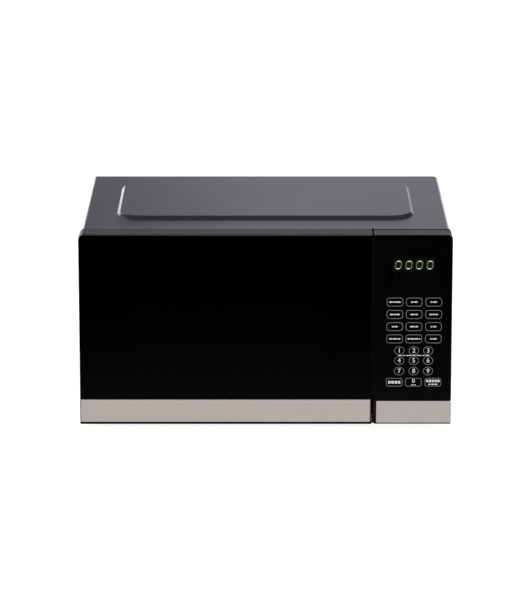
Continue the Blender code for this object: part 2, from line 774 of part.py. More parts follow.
def make_release_lever():
    shaft = cylinder("x", (LEVER_Y, LEVER_Z), 3.0, (106.5, 145))
    down_arm = box(ROD_X, (LEVER_Y - 3, LEVER_Y + 0.5), (LEVER_Z - LEVER_DROP - 3, LEVER_Z))
    top = HOOK_Z[0] - LIFT_PLAY
    lift_arm = [
        (LEVER_Y - 2, LEVER_Z - 2),
        (LEVER_Y + 2, LEVER_Z - 2.5),
        (LEVER_Y + 22, top - 4),
        (LEVER_Y + 23, top),
        (LEVER_Y + 17, top),
        (LEVER_Y + 2, LEVER_Z + 2.5),
        (LEVER_Y - 2, LEVER_Z + 2),
    ]
    solid(
        "release_lever",
        "white_plastic",
        shaft,
        plus=[down_arm, prism(lift_arm, "x", (121, 125))],
        origin=(120, LEVER_Y, LEVER_Z),
    )


def make_release_button():
    """The push bar, its rod to the lever and its steel face."""
    x, z = (134.2, 225.3), (11.1, 38.1)
    trim_y = (BUTTON_FACE_Y, BUTTON_FACE_Y + 0.8)
    body_y = (trim_y[1] + GAP, -158.0)
    rod_z = LEVER_Z - LEVER_DROP
    tip_y = LEVER_Y - 3 - 0.5
    solid(
        "release_button",
        "black_plastic",
        box(x, body_y, z),
        plus=[
            box(ROD_X, (body_y[1] - 1, tip_y - 4), (rod_z - 2, rod_z + 2)),
            box(ROD_X, (tip_y - 5, tip_y), (rod_z - 1, rod_z + 1)),
            cylinder("y", (180, 24), 3.0, (body_y[1] - 1, body_y[1] + 4)),
        ],
        origin=(180, body_y[1], 24),
    )
    face = rounded((x[0] - 0.3, x[1] + 0.3), (z[0] - 0.3, z[1] + 0.3), 1.2, 3)
    solid("button_trim", "brushed_steel", prism(face, "y", trim_y), origin=(180, trim_y[0], 24))
    spring = pipe("y", (180, 24), (3.0 + GAP, 4.8), (body_y[1] + GAP, SPRING_SEAT_Y - GAP))
    solid("button_spring", "spring_steel", spring, smooth=40)


# Control panel


def make_control_housing():
    x, z = PANEL_X, (FASCIA_BOTTOM, FASCIA_TOP)
    front = FACE_Y + 1.2
    outline = rounded(x, z, (1, 1, CORNER_R, 1))
    inside = rounded((x[0] + WALL, x[1] - WALL), (41.5, z[1] - WALL), (1, 1, CORNER_R - WALL, 1))
    solid(
        "control_housing",
        "black_plastic",
        prism(outline, "y", (front, FASCIA_REAR_Y)),
        minus=[
            prism(inside, "y", (front + WALL, FASCIA_REAR_Y + 5)),
            box((x[0] + 2.1, x[1] + 5), (front - 5, -152.0), (FASCIA_BOTTOM + 1.0, 38.9)),
            box((x[0] + WALL, x[1] - WALL), (-148.0, -130), (FASCIA_BOTTOM + WALL, 42.5)),
            box((153, 212), (front - 5, front + 5), (176, 221)),
            box((ROD_X[0] - 0.5, ROD_X[1] + 0.5), (-160, -145), (29.5, 34.5)),
            cylinder("y", (180, 24), 5.2, (-160, SPRING_SEAT_Y)),
        ],
    )


def make_keypad_membrane():
    """A flat overlay: its keys are printed, with dome contacts behind."""
    outline = rounded(grown(PANEL_X, -0.4), (39.2, FASCIA_TOP - 0.4), (1, 1, CORNER_R - 0.4, 1))
    solid("keypad_membrane", "black_gloss", prism(outline, "y", (FACE_Y, FACE_Y + 0.9)))


def make_display():
    glass = rounded((154, 211), (177, 220), 1, 2)
    solid(
        "display_module",
        "lit_display",
        prism(glass, "y", (FACE_Y + 1.4, FACE_Y + 5)),
        plus=[box((151, 214), (FACE_Y + 4.4, -160.5), (172, 225))],
    )


def make_control_board():
    board = box((138, 220), (-158.0, -156.4), (60, 234))
    parts = [
        box((142, 176), (-157, -138), (62, 92)),
        box((182, 200), (-157, -142), (66, 94)),
        box((204, 216), (-157, -142), (66, 94)),
        box((150, 180), (-157, -150), (120, 150)),
    ]
    solid("control_board", "circuit_board", board, plus=[joined(parts)])


# Door


def window_outline(grow):
    return rounded(grown(WINDOW_X, grow), grown(WINDOW_Z, grow), 8 + max(grow, 0))


def rear_edge_rounding():
    """What is cut off the rear left edge so that it clears the front plate as the door swings."""
    radius = FASCIA_REAR_Y - HINGE_Y
    low = DOOR_X[0] - 5
    outline = [(HINGE_X, FASCIA_REAR_Y + 5), (low, FASCIA_REAR_Y + 5), (low, HINGE_Y)]
    outline += arc((HINGE_X, HINGE_Y), radius, 180, 90, 8)
    return prism(outline, "z", (0, 260))


def make_door_frame():
    """A tub open to the rear, with a solid hinge stile on the left."""
    x, z = DOOR_X, (FASCIA_BOTTOM, FASCIA_TOP)
    web_y = FACE_Y + GLASS_T + GAP
    inside = rounded(DOOR_INSIDE_X, grown(z, -WALL), 1)
    slots = []
    pin_holes = []
    for _, low, towards in HINGE_PLATES:
        middle = low + HINGE_PLATE_T / 2
        slots.append(box((x[0] - 5, HINGE_X + 7.5), (HINGE_Y - 8.5, -130), (middle - 1.8, middle + 1.8)))
        reach = sorted((middle, middle + towards * (HINGE_PIN_LENGTH + 2)))
        pin_holes.append(cylinder("z", (HINGE_X, HINGE_Y), HINGE_PIN_R + GAP, reach))
    solid(
        "door_frame",
        "black_plastic",
        prism(rounded(x, z, (1, 1, 1, CORNER_R)), "y", (web_y, FASCIA_REAR_Y)),
        plus=[box(x, (FACE_Y, web_y + 1), (z[0], z[0] + 1.6))],
        minus=[
            prism(inside, "y", (web_y + WALL, FASCIA_REAR_Y + 5)),
            prism(window_outline(0), "y", (web_y - 5, web_y + 5)),
            joined(slots),
            joined(pin_holes),
            rear_edge_rounding(),
        ],
        origin=DOOR_AXIS,
    )


def make_door_face():
    front = (FACE_Y, FACE_Y + GLASS_T)
    glass = rounded(grown(DOOR_X, -0.4), (GLASS_BOTTOM, FASCIA_TOP - 0.4), (1, 1, 1, CORNER_R))
    solid("door_glass", "black_gloss", prism(glass, "y", front), origin=DOOR_AXIS)
    strip = rounded((DOOR_X[0] + 1.2, DOOR_X[1] - 2.7), (FASCIA_BOTTOM + 1.9, STRIP_TOP), 0.6, 2)
    solid("door_trim", "brushed_steel", prism(strip, "y", front), origin=DOOR_AXIS)


def make_door_lining():
    """The microwave seal behind the window: choke channel, perforated screen, film and inner cover."""
    choke_y = (-160.0, -141.0)
    outer = rounded(grown(WINDOW_X, CHOKE_OUT), grown(WINDOW_Z, CHOKE_OUT), 8)
    channel = rounded(grown(WINDOW_X, CHOKE_OUT - SHEET), grown(WINDOW_Z, CHOKE_OUT - SHEET), 7)
    solid(
        "door_choke_frame",
        "dark_steel",
        hollow(outer, window_outline(0), "y", choke_y),
        minus=[hollow(channel, window_outline(SHEET), "y", (choke_y[0] + SHEET, choke_y[1] + 5))],
        origin=DOOR_AXIS,
    )
    screen_y = (choke_y[1] - 1.5, choke_y[1] - 0.7)
    solid("door_screen", "dark_steel", prism(window_outline(-GAP), "y", screen_y), origin=DOOR_AXIS)
    film_y = (choke_y[1] + GAP, choke_y[1] + 1.3)
    solid("door_inner_window", "smoked_film", prism(window_outline(6), "y", film_y), origin=DOOR_AXIS)
    cover_y = (film_y[1] + GAP, FASCIA_REAR_Y)
    inside = rounded(grown(DOOR_INSIDE_X, -GAP), (FASCIA_BOTTOM + WALL + GAP, FASCIA_TOP - WALL - GAP), 1)
    slot_z = [(z - BARB - 1, z + HOOK_H + LATCH_TRAVEL + 1) for z in HOOK_Z]
    hook_slots = [box(grown(HOOK_X, 1), (-145, -130), z) for z in slot_z]
    solid(
        "door_inner_cover",
        "black_plastic",
        prism(inside, "y", cover_y),
        minus=[prism(window_outline(0), "y", (-145, -130)), joined(hook_slots)],
        origin=DOOR_AXIS,
    )


def make_door_latch():
    """A sliding bar with two barbed hooks; the lower one has a peg that the lever lifts."""
    bar_x, bar_y = grown(HOOK_X, 2), (-150.0, -142.0)
    bar_z = (45.0, 205.0)
    hooks = []
    for z in HOOK_Z:
        barb_y = HOOK_TIP_Y - 8
        side = [
            (bar_y[1] - 1, z),
            (barb_y, z),
            (barb_y, z - BARB),
            (HOOK_TIP_Y - 3, z - BARB),
            (HOOK_TIP_Y, z - 1),
            (HOOK_TIP_Y, z + HOOK_H),
            (bar_y[1] - 1, z + HOOK_H),
        ]
        hooks.append(prism(side, "x", HOOK_X))
    peg = box((HOOK_X[1] - 1, HOOK_X[1] + 6), (HOOK_TIP_Y - 5, HOOK_TIP_Y), (HOOK_Z[0], HOOK_Z[0] + 4))
    solid("door_latch", "white_plastic", box(bar_x, bar_y, bar_z), plus=[joined(hooks), peg])
    middle = (sum(bar_x) / 2, sum(bar_y) / 2)
    spring_z = (bar_z[1] + GAP, FASCIA_TOP - WALL - GAP)
    solid("latch_spring", "spring_steel", pipe("z", middle, (2.6, 3.6), spring_z, 16), smooth=40)


def main():
    clear_scene()
    make_outer_cover()
    make_base_plate()
    make_feet()
    make_back_plate()
    make_cover_screws()
    make_cord_gland()
    make_front_plate()
    make_cavity_box()
    make_hinges()
    make_turntable()
    make_waveguide()
    make_magnetron()
    make_transformer()
    make_bay_parts()
    make_fan()
    make_latch_bracket()
    make_door_switches()
    make_release_lever()
    make_release_button()
    make_control_housing()
    make_keypad_membrane()
    make_display()
    make_control_board()
    make_door_frame()
    make_door_face()
    make_door_lining()
    make_door_latch()


main()
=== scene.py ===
"""The looks of the microwave oven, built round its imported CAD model.

Shapes are written in millimetres, in the model's own frame: X right, Y back, Z up. Places come
from the boxes of the CAD nodes. Colours are linear.
"""

import json
import math

import bmesh
import bpy
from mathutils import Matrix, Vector

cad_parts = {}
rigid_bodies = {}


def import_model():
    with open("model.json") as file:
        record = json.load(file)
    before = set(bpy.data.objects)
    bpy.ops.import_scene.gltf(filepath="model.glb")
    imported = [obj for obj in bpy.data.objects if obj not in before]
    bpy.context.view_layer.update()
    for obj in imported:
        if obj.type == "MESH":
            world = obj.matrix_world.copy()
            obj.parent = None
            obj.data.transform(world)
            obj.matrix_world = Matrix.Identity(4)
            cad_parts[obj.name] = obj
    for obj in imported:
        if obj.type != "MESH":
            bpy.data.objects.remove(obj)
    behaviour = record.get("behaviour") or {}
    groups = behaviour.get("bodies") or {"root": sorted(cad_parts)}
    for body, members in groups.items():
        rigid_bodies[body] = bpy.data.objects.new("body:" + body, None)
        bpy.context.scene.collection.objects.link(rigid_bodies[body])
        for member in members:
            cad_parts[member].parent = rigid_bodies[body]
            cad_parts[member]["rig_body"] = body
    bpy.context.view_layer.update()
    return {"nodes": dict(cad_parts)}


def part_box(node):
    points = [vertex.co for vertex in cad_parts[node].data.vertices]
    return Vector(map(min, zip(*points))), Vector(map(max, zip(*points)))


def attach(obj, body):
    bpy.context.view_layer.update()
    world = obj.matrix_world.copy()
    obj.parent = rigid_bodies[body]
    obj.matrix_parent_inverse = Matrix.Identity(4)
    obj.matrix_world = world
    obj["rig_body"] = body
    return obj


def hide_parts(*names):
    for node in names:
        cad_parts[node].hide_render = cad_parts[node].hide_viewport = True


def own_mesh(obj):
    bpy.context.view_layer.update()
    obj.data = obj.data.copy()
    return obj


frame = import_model()

MM = 0.001
scene = bpy.context.scene


# Places


def spans(node):
    """The (low, high) extents of a CAD node along X, Y and Z."""
    low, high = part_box(node)
    return [(low[k] / MM, high[k] / MM) for k in range(3)]


def middle(span):
    return sum(span) / 2


def grown(span, by):
    return (span[0] - by, span[1] + by)


def body_of(node):
    return frame["nodes"][node]["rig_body"]


# Shapes: lists of points and faces


def placed(axis, u, v, w):
    """The point at (u, v) in the plane across the axis and w along it."""
    return {"x": (w, u, v), "y": (u, w, v), "z": (u, v, w)}[axis]


def arc(centre, radius, start, end, steps):
    angles = [math.radians(start + (end - start) * i / steps) for i in range(steps + 1)]
    return [(centre[0] + radius * math.cos(a), centre[1] + radius * math.sin(a)) for a in angles]


def rounded(u, v, radii, steps=6):
    """A rectangle with rounded corners: one radius, or four from low-low round to low-high."""
    if not isinstance(radii, (tuple, list)):
        radii = (radii,) * 4
    corners = ((u[0], v[0], 1, 1), (u[1], v[0], -1, 1), (u[1], v[1], -1, -1), (u[0], v[1], 1, -1))
    outline = []
    for index, (cu, cv, su, sv) in enumerate(corners):
        r = max(radii[index], 0.01)
        outline += arc((cu + su * r, cv + sv * r), r, 180 + 90 * index, 270 + 90 * index, steps)
    return outline


def circle(centre, radius, sides=32):
    return arc(centre, radius, 0, 360 - 360 / sides, sides - 1)


def prism(outline, axis, span):
    count = len(outline)
    points = [placed(axis, u, v, w) for w in span for u, v in outline]
    faces = [list(range(count)), list(range(2 * count - 1, count - 1, -1))]
    faces += [[i, (i + 1) % count, count + (i + 1) % count, count + i] for i in range(count)]
    return points, faces


def box(x, y, z):
    return prism([(x[0], y[0]), (x[1], y[0]), (x[1], y[1]), (x[0], y[1])], "z", z)


def hollow(outer, inner, axis, span):
    """A tube between two outlines of equally many points."""
    count = len(outer)
    rings = ((outer, span[0]), (outer, span[1]), (inner, span[1]), (inner, span[0]))
    points = [placed(axis, u, v, w) for outline, w in rings for u, v in outline]
    faces = []
    for k in range(4):
        after = (k + 1) % 4
        for i in range(count):
            j = (i + 1) % count
            faces.append([k * count + i, k * count + j, after * count + j, after * count + i])
    return points, faces


def swept(path, radius, sides=10):
    """A round wire along a path."""
    points, faces = [], []
    side = Vector((0, 0, 1))
    for index, point in enumerate(path):
        ahead = Vector(path[min(index + 1, len(path) - 1)]) - Vector(path[max(index - 1, 0)])
        ahead.normalize()
        side = (side - ahead * side.dot(ahead)).normalized()
        across = ahead.cross(side)
        for u, v in circle((0, 0), radius, sides):
            points.append(tuple(Vector(point) + side * u + across * v))
    for row in range(len(path) - 1):
        for i in range(sides):
            j = (i + 1) % sides
            base = row * sides
            faces.append([base + i, base + j, base + sides + j, base + sides + i])
    faces.append(list(range(sides)))
    faces.append([len(points) - 1 - i for i in range(sides)])
    return points, faces


def joined(shapes):
    points, faces = [], []
    for more_points, more_faces in shapes:
        offset = len(points)
        points += more_points
        faces += [[i + offset for i in face] for face in more_faces]
    return points, faces


# Objects


def mesh_object(name, shape, look):
    points, faces = shape
    bm = bmesh.new()
    verts = [bm.verts.new([c * MM for c in p]) for p in points]
    for face in faces:
        bm.faces.new([verts[i] for i in face])
    bmesh.ops.recalc_face_normals(bm, faces=bm.faces)
    mesh = bpy.data.meshes.new(name)
    bm.to_mesh(mesh)
    bm.free()
    if look:
        mesh.materials.append(look)
    obj = bpy.data.objects.new(name, mesh)
    scene.collection.objects.link(obj)
    return obj


def softened(obj, bevel, segments=2, sharp=35):
    """Rounds the object's edges by a bevel in millimetres and shades it smooth between them."""
    obj.data.shade_smooth()
    obj.data.set_sharp_from_angle(angle=math.radians(sharp))
    if bevel:
        modifier = obj.modifiers.new("edges", "BEVEL")
        modifier.width = bevel * MM
        modifier.segments = segments
        modifier.limit_method = "ANGLE"
        modifier.angle_limit = math.radians(sharp)
        modifier.use_clamp_overlap = True
    normals = obj.modifiers.new("normals", "WEIGHTED_NORMAL")
    normals.keep_sharp = True
    return obj


def carved(obj, cutters):
    """Cuts shapes out of an object, and bakes that into its mesh."""
    tools = []
    for index, shape in enumerate(cutters):
        tool = mesh_object(f"{obj.name}_cut_{index}", shape, None)
        modifier = obj.modifiers.new("cut", "BOOLEAN")
        modifier.operation = "DIFFERENCE"
        modifier.object = tool
        tools.append(tool)
    baked(obj)
    for tool in tools:
        bpy.data.objects.remove(tool)
    return obj


def baked(obj):
    """Applies the object's modifiers."""
    bpy.context.view_layer.update()
    evaluated = obj.evaluated_get(bpy.context.evaluated_depsgraph_get())
    mesh = bpy.data.meshes.new_from_object(evaluated)
    obj.modifiers.clear()
    obj.data = mesh
    return obj


def fitted(obj, body, slot, *nodes):
    """The object rides on a body and stands for CAD nodes; the slot is not used."""
    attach(obj, body)
    if nodes:
        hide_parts(*nodes)
    return obj


def refined(node, look, slot, bevel=0.4, segments=2, sharp=35):
    """A copy of a CAD node with its flat faces joined up and its edges rounded."""
    bm = bmesh.new()
    bm.from_mesh(frame["nodes"][node].data)
    bmesh.ops.remove_doubles(bm, verts=bm.verts, dist=0.01 * MM)
    bmesh.ops.dissolve_limit(bm, angle_limit=math.radians(0.5), verts=bm.verts, edges=bm.edges)
    bm.verts.index_update()
    shape = ([tuple(v.co / MM) for v in bm.verts], [[v.index for v in f.verts] for f in bm.faces])
    bm.free()
    obj = mesh_object(f"{node}_finished", shape, look)
    softened(obj, bevel, segments, sharp)
    return fitted(obj, body_of(node), slot, node)


def repainted(obj, look, chosen):
    """Gives a second material to the faces whose centre, in millimetres, is chosen."""
    obj.data.materials.append(look)
    index = len(obj.data.materials) - 1
    for polygon in obj.data.polygons:
        if chosen(*(polygon.center / MM)):
            polygon.material_index = index
    return obj


# Materials


class Look:
    """A material in the making: a Principled shader and short ways to add nodes to it."""

    def __init__(self, name, colour, roughness, metallic=0.0, **sockets):
        self.material = bpy.data.materials.new(name)
        self.material.use_nodes = True
        self.tree = self.material.node_tree
        self.shader = self.tree.nodes["Principled BSDF"]
        self.colour = colour
        self.set("Base Color", (*colour, 1.0))
        self.set("Roughness", roughness)
        self.set("Metallic", metallic)
        for socket, value in sockets.items():
            self.set(socket.replace("_", " "), value)

    def set(self, socket, value):
        self.shader.inputs[socket].default_value = value

    def node(self, kind, **settings):
        node = self.tree.nodes.new("ShaderNode" + kind)
        for key, value in settings.items():
            setattr(node, key, value)
        return node

    def link(self, output, socket):
        self.tree.links.new(output, self.shader.inputs[socket])

    def coordinates(self, stretch=(1, 1, 1)):
        mapping = self.node("Mapping")
        mapping.inputs["Scale"].default_value = stretch
        self.tree.links.new(self.node("TexCoord").outputs["Object"], mapping.inputs["Vector"])
        return mapping.outputs["Vector"]

    def noise(self, size, detail=2.0, stretch=(1, 1, 1)):
        """Noise whose features are about so many millimetres across."""
        texture = self.node("TexNoise")
        texture.inputs["Scale"].default_value = 1 / (size * MM)
        texture.inputs["Detail"].default_value = detail
        self.tree.links.new(self.coordinates(stretch), texture.inputs["Vector"])
        return texture.outputs["Fac"]

    def stripes(self, pitch, axis):
        """Bands across an axis, one for each pitch in millimetres."""
        texture = self.node("TexWave", wave_type="BANDS", bands_direction=axis)
        texture.inputs["Scale"].default_value = math.pi / (10 * pitch * MM)
        self.tree.links.new(self.coordinates(), texture.inputs["Vector"])
        return texture.outputs["Fac"]

    def ranged(self, value, low, high, start=0.35, end=0.65):
        node = self.node("MapRange")
        for socket, number in (("From Min", start), ("From Max", end), ("To Min", low), ("To Max", high)):
            node.inputs[socket].default_value = number
        self.tree.links.new(value, node.inputs["Value"])
        return node.outputs["Result"]

    def tinted(self, value, dark=0.85, light=1.15):
        """Colour that varies between two shares of the base colour."""
        ramp = self.node("ValToRGB")
        for element, place, share in zip(ramp.color_ramp.elements, (0.3, 0.7), (dark, light)):
            element.position = place
            element.color = [*(min(c * share, 1.0) for c in self.colour), 1.0]
        self.tree.links.new(value, ramp.inputs["Fac"])
        self.link(ramp.outputs["Color"], "Base Color")
        return self

    def roughened(self, value, low, high):
        self.link(self.ranged(value, low, high), "Roughness")
        return self

    def bumped(self, *layers):
        """Bump from (height, depth in millimetres) layers."""
        normal = None
        for height, depth in layers:
            bump = self.node("Bump")
            bump.inputs["Strength"].default_value = 1.0
            bump.inputs["Distance"].default_value = depth * MM
            self.tree.links.new(height, bump.inputs["Height"])
            if normal:
                self.tree.links.new(normal, bump.inputs["Normal"])
            normal = bump.outputs["Normal"]
        self.link(normal, "Normal")
        return self


def paint_look():
    """Graphite satin paint with a fine orange peel."""
    look = Look("graphite_paint", (0.009, 0.0088, 0.0112), 0.24, IOR=1.45)
    look.tinted(look.noise(90, 3), 0.92, 1.08)
    look.roughened(look.noise(60, 3), 0.23, 0.25)
    return look.bumped((look.noise(1.4, 2), 0.002), (look.noise(0.4, 1), 0.0007)).material


def plastic_look(name, colour, roughness, grain=0.003, gloss=0.5):
    """Moulded plastic with a spark-eroded grain."""
    look = Look(name, colour, roughness, Specular_IOR_Level=gloss)
    look.tinted(look.noise(40, 4), 0.9, 1.1)
    look.roughened(look.noise(12, 4), roughness - 0.03, roughness + 0.03)
    return look.bumped((look.noise(0.45, 3), grain)).material


def brushed_look():
    """Stainless steel brushed along X."""
    look = Look("brushed_steel", (0.655, 0.6, 0.565), 0.4, 1.0, Anisotropic=0.75)
    fine = look.noise(14, 3, (0.03, 1, 90))
    broad = look.noise(60, 2, (0.25, 1, 12))
    look.tinted(fine, 0.9, 1.09)
    look.roughened(broad, 0.36, 0.46)
    tangent = look.node("Tangent", direction_type="RADIAL", axis="X")
    look.link(tangent.outputs["Tangent"], "Tangent")
    return look.bumped((fine, 0.0015)).material


def metal_look(name, colour, roughness, metallic=1.0, wear=0.12):
    """Sheet or cast metal with rolling marks and uneven gloss."""
    look = Look(name, colour, roughness, metallic)
    look.tinted(look.noise(30, 5), 1 - wear, 1 + wear)
    look.roughened(look.noise(8, 4), roughness - 0.08, roughness + 0.1)
    return look.bumped((look.noise(3, 3), 0.004)).material


def spangled_look():
    """Galvanised steel: small crystals of zinc with their own shade."""
    look = Look("zinc_steel", (0.3, 0.305, 0.31), 0.42, 0.9)
    cells = look.node("TexVoronoi")
    cells.inputs["Scale"].default_value = 1 / (2.6 * MM)
    look.tree.links.new(look.coordinates(), cells.inputs["Vector"])
    value = look.node("SeparateColor")
    look.tree.links.new(cells.outputs["Color"], value.inputs["Color"])
    look.tinted(value.outputs["Red"], 0.94, 1.05)
    look.link(look.ranged(value.outputs["Green"], 0.38, 0.46, 0.0, 1.0), "Roughness")
    return look.bumped((look.noise(5, 3), 0.004)).material


def enamel_look():
    look = Look("white_enamel", (0.56, 0.56, 0.55), 0.28, Coat_Weight=0.3, Coat_Roughness=0.1)
    look.tinted(look.noise(90, 2), 0.985, 1.015)
    look.roughened(look.noise(20, 4), 0.27, 0.31)
    return look.bumped((look.noise(12, 1), 0.003)).material


def glass_look(name, colour, roughness=0.02):
    look = Look(name, colour, roughness, Transmission_Weight=1.0, IOR=1.5)
    look.roughened(look.noise(60, 3), roughness, roughness + 0.015)
    return look.material


def print_look(name, colour, roughness, gloss=0.5):
    """Screen-printed ink; ink behind glass is bonded to it and has no gloss of its own."""
    look = Look(name, colour, roughness, Specular_IOR_Level=gloss)
    look.tinted(look.noise(50, 4), 0.85, 1.15)
    return look.bumped((look.noise(1.2, 2), 0.0006)).material


def winding_look(name, colour, axis):
    """Lacquered copper wire in layers."""
    look = Look(name, colour, 0.3, 0.75, Coat_Weight=0.5)
    wires = look.stripes(1.1, axis)
    look.tinted(wires, 0.55, 1.1)
    return look.bumped((wires, 0.25)).material


def laminated_look():
    """Edges of stacked core plates."""
    look = Look("lamination", (0.12, 0.12, 0.13), 0.45, 0.85)
    plates = look.stripes(1.0, "X")
    look.tinted(plates, 0.6, 1.25)
    look.roughened(look.noise(10, 4), 0.38, 0.55)
    return look.bumped((plates, 0.08)).material


def rubber_look():
    look = Look("rubber", (0.012, 0.012, 0.012), 0.75)
    look.tinted(look.noise(8, 4), 0.8, 1.4)
    return look.bumped((look.noise(0.8, 3), 0.01)).material


def mica_look():
    look = Look("mica", (0.5, 0.44, 0.34), 0.5)
    look.tinted(look.noise(6, 6, (1, 1, 2.5)), 0.7, 1.2)
    return look.bumped((look.noise(2, 4), 0.01)).material


def board_look():
    """Phenolic circuit board."""
    look = Look("circuit_board", (0.3, 0.19, 0.07), 0.45)
    look.tinted(look.noise(14, 5), 0.85, 1.12)
    return look.bumped((look.noise(1.2, 3), 0.004)).material


def lit_look(name, colour, strength):
    look = Look(name, (0.02, 0.05, 0.02), 0.4)
    look.set("Emission Color", (*colour, 1.0))
    glow = look.ranged(look.noise(4, 2), 0.9, 1.1)
    scaled = look.node("Math", operation="MULTIPLY")
    scaled.inputs[1].default_value = strength
    look.tree.links.new(glow, scaled.inputs[0])
    look.link(scaled.outputs["Value"], "Emission Strength")
    return look.material


PAINT = paint_look()
BLACK_PLASTIC = plastic_look("black_plastic", (0.005, 0.0048, 0.0068), 0.42, gloss=0.4)
# Painted shade: a darker, less glossy copy of the black plastic for the fascia and the door frame, whose
# tops keep the plain black plastic.
SHADED_PLASTIC = plastic_look("deep_black_plastic", (0.0028, 0.0027, 0.0038), 0.5, gloss=0.12)
WHITE_PLASTIC = plastic_look("white_plastic", (0.62, 0.61, 0.57), 0.42, 0.002)
BRUSHED = brushed_look()
ZINC = spangled_look()
ENAMEL = enamel_look()
STEEL = metal_look("bright_steel", (0.6, 0.6, 0.6), 0.28)
DARK_STEEL = metal_look("dark_steel", (0.018, 0.018, 0.019), 0.42, 0.4)
ALUMINIUM = metal_look("aluminium", (0.68, 0.68, 0.69), 0.34)
FIN_METAL = metal_look("fin_metal", (0.55, 0.56, 0.58), 0.3)
DOOR_PANE = glass_look("door_pane", (0.16, 0.16, 0.17), 0.005)
GROUND_EDGE = print_look("ground_edge", (0.0025, 0.0026, 0.0028), 0.5, 0.1)
# Glossless black: the print on the back of the door glass, and also painted shade on fascia and door
# frame edges beside the gap.
PRINT_AND_SHADE_BLACK = print_look("black_print", (0.0022, 0.0022, 0.0026), 0.5, 0.0)
OVERLAY = print_look("overlay_film", (0.0009, 0.0009, 0.0013), 0.05)
DISPLAY_FACE = print_look("display_face", (0.022, 0.022, 0.034), 0.6, 0.0)
PALE_PRINT = print_look("pale_print", (0.55, 0.55, 0.56), 0.4)
LINE_PRINT = print_look("line_print", (0.24, 0.24, 0.25), 0.4)
TRAY_GLASS = glass_look("tray_glass", (0.93, 0.96, 0.95), 0.01)
SMOKED = glass_look("smoked_film", (0.16, 0.16, 0.17), 0.05)
LENS = glass_look("display_lens", (0.42, 0.42, 0.44), 0.02)
BULB = glass_look("bulb_glass", (0.95, 0.93, 0.86), 0.05)
RUBBER = rubber_look()
# Matt black: painted shade in the gap beside the door, and the thin lips under the steel strips.
SHADE_AND_LIP_BLACK = print_look("seal_rubber", (0.0012, 0.0012, 0.0014), 0.8, 0.1)
MICA = mica_look()
BOARD = board_look()
LAMINATION = laminated_look()
COPPER = winding_look("copper_winding", (0.52, 0.2, 0.07), "Z")


# The cabinet


EMBOSS_X = 183.4
EMBOSS_Y = (-81.6, 125.6)
EMBOSS_R = 30.0
EMBOSS_SLOPE = 3.2
BEND_R = 6.0
SHEET_T = 0.6
FLANGE = 14.0
FILLET = 0.5  # half the width of the rounding at the foot and the crest of the slope
LIP = (6.0, 0.12)  # width and rise of the cover's flared front edge
SCREW_NODES = [f"cover_screw_{n}" for n in (1, 2, 3, 4)]
VENT_LENGTH = 14.0
VENT_WIDTH = 3.5
VENT_PITCH = 9.0


def emboss_loop(inset):
    x = (-EMBOSS_X + inset, EMBOSS_X - inset)
    y = (EMBOSS_Y[0] + inset, EMBOSS_Y[1] - inset)
    return rounded(x, y, EMBOSS_R - inset, steps=8)


def emboss_profile(rise):
    """(inset, height) pairs up the slope, rounded at its foot and its crest."""
    slope = rise / EMBOSS_SLOPE
    foot = [(FILLET * t, slope * FILLET * (t + 1) ** 2 / 4) for t in (-1, -0.5, 0, 0.5, 1)]
    crest = [(EMBOSS_SLOPE - inset, rise - height) for inset, height in reversed(foot)]
    return foot + crest


def boundary_loop(x, y):
    """Points on a rectangle, one for each point of an emboss loop."""
    corners = ((x[0], y[0]), (x[1], y[0]), (x[1], y[1]), (x[0], y[1]))
    inner = emboss_loop(0)
    steps = len(inner) // 4
    loop = []
    for index, corner in enumerate(corners):
        first, last = inner[index * steps], inner[index * steps + steps - 1]
        upright = index % 2 == 0
        start = (corner[0], first[1]) if upright else (first[0], corner[1])
        end = (last[0], corner[1]) if upright else (corner[0], last[1])
        half = (steps - 1) / 2
        for i in range(steps):
            one, two, share = (start, corner, i / half) if i <= half else (corner, end, i / half - 1)
            loop.append((one[0] + (two[0] - one[0]) * share, one[1] + (two[1] - one[1]) * share))
    return loop


def cover_surface():
    """The outer skin of the cover: the top with its raised panel, both bends and both sides."""
    x, y, z = spans("outer_cover")
    rise = z[1] - spans("door_frame")[2][1] + 0.4
    top = z[1] - rise
    flat = (x[0] + BEND_R, x[1] - BEND_R)
    loops = [[(px, py, top) for px, py in boundary_loop(flat, (y[0] + LIP[0], y[1]))]]
    for inset, height in emboss_profile(rise):
        loops.append([(px, py, top + height) for px, py in emboss_loop(inset)])
    count = len(loops[0])
    points = [p for loop in loops for p in loop]
    faces = [[len(points) - count + i for i in range(count)]]
    for row in range(len(loops) - 1):
        for i in range(count):
            j = (i + 1) % count
            base = row * count
            faces.append([base + i, base + j, base + count + j, base + count + i])
    skin = [(points, faces)]
    left_bend = list(reversed(arc((flat[0], top - BEND_R), BEND_R, 90, 180, 8)))
    right_bend = arc((flat[1], top - BEND_R), BEND_R, 90, 0, 8)
    for side, bend in ((0, left_bend), (1, right_bend)):
        edge_y = stations(loops[0], 0, flat[side])
        foot = [(x[side], z[0])]
        skin.append(strip(foot + bend if side == 0 else bend + foot, edge_y))

    def section(edge_x):
        """The cover's XZ profile, with a point on top at each place along X."""
        level = [(px, top) for px in edge_x]
        return [(x[0], z[0])] + left_bend[:-1] + level + right_bend[1:] + [(x[1], z[0])]

    skin.append(flared_lip(section(stations(loops[0], 1, y[0] + LIP[0])), y[0], top))
    rim = section(stations(loops[0], 1, y[1]))
    inner = [(min(max(px, x[0] + FLANGE), x[1] - FLANGE), min(pz, top - FLANGE)) for px, pz in rim]
    rear = [(px, y[1], pz) for px, pz in rim + inner]
    count = len(rim)
    skin.append((rear, [[i, i + 1, count + i + 1, count + i] for i in range(count - 1)]))
    return joined(skin)


def stations(loop, axis, at):
    """Where a loop's points lie along one side of its rectangle."""
    return sorted({round(p[1 - axis], 4) for p in loop if abs(p[axis] - at) < 0.01})


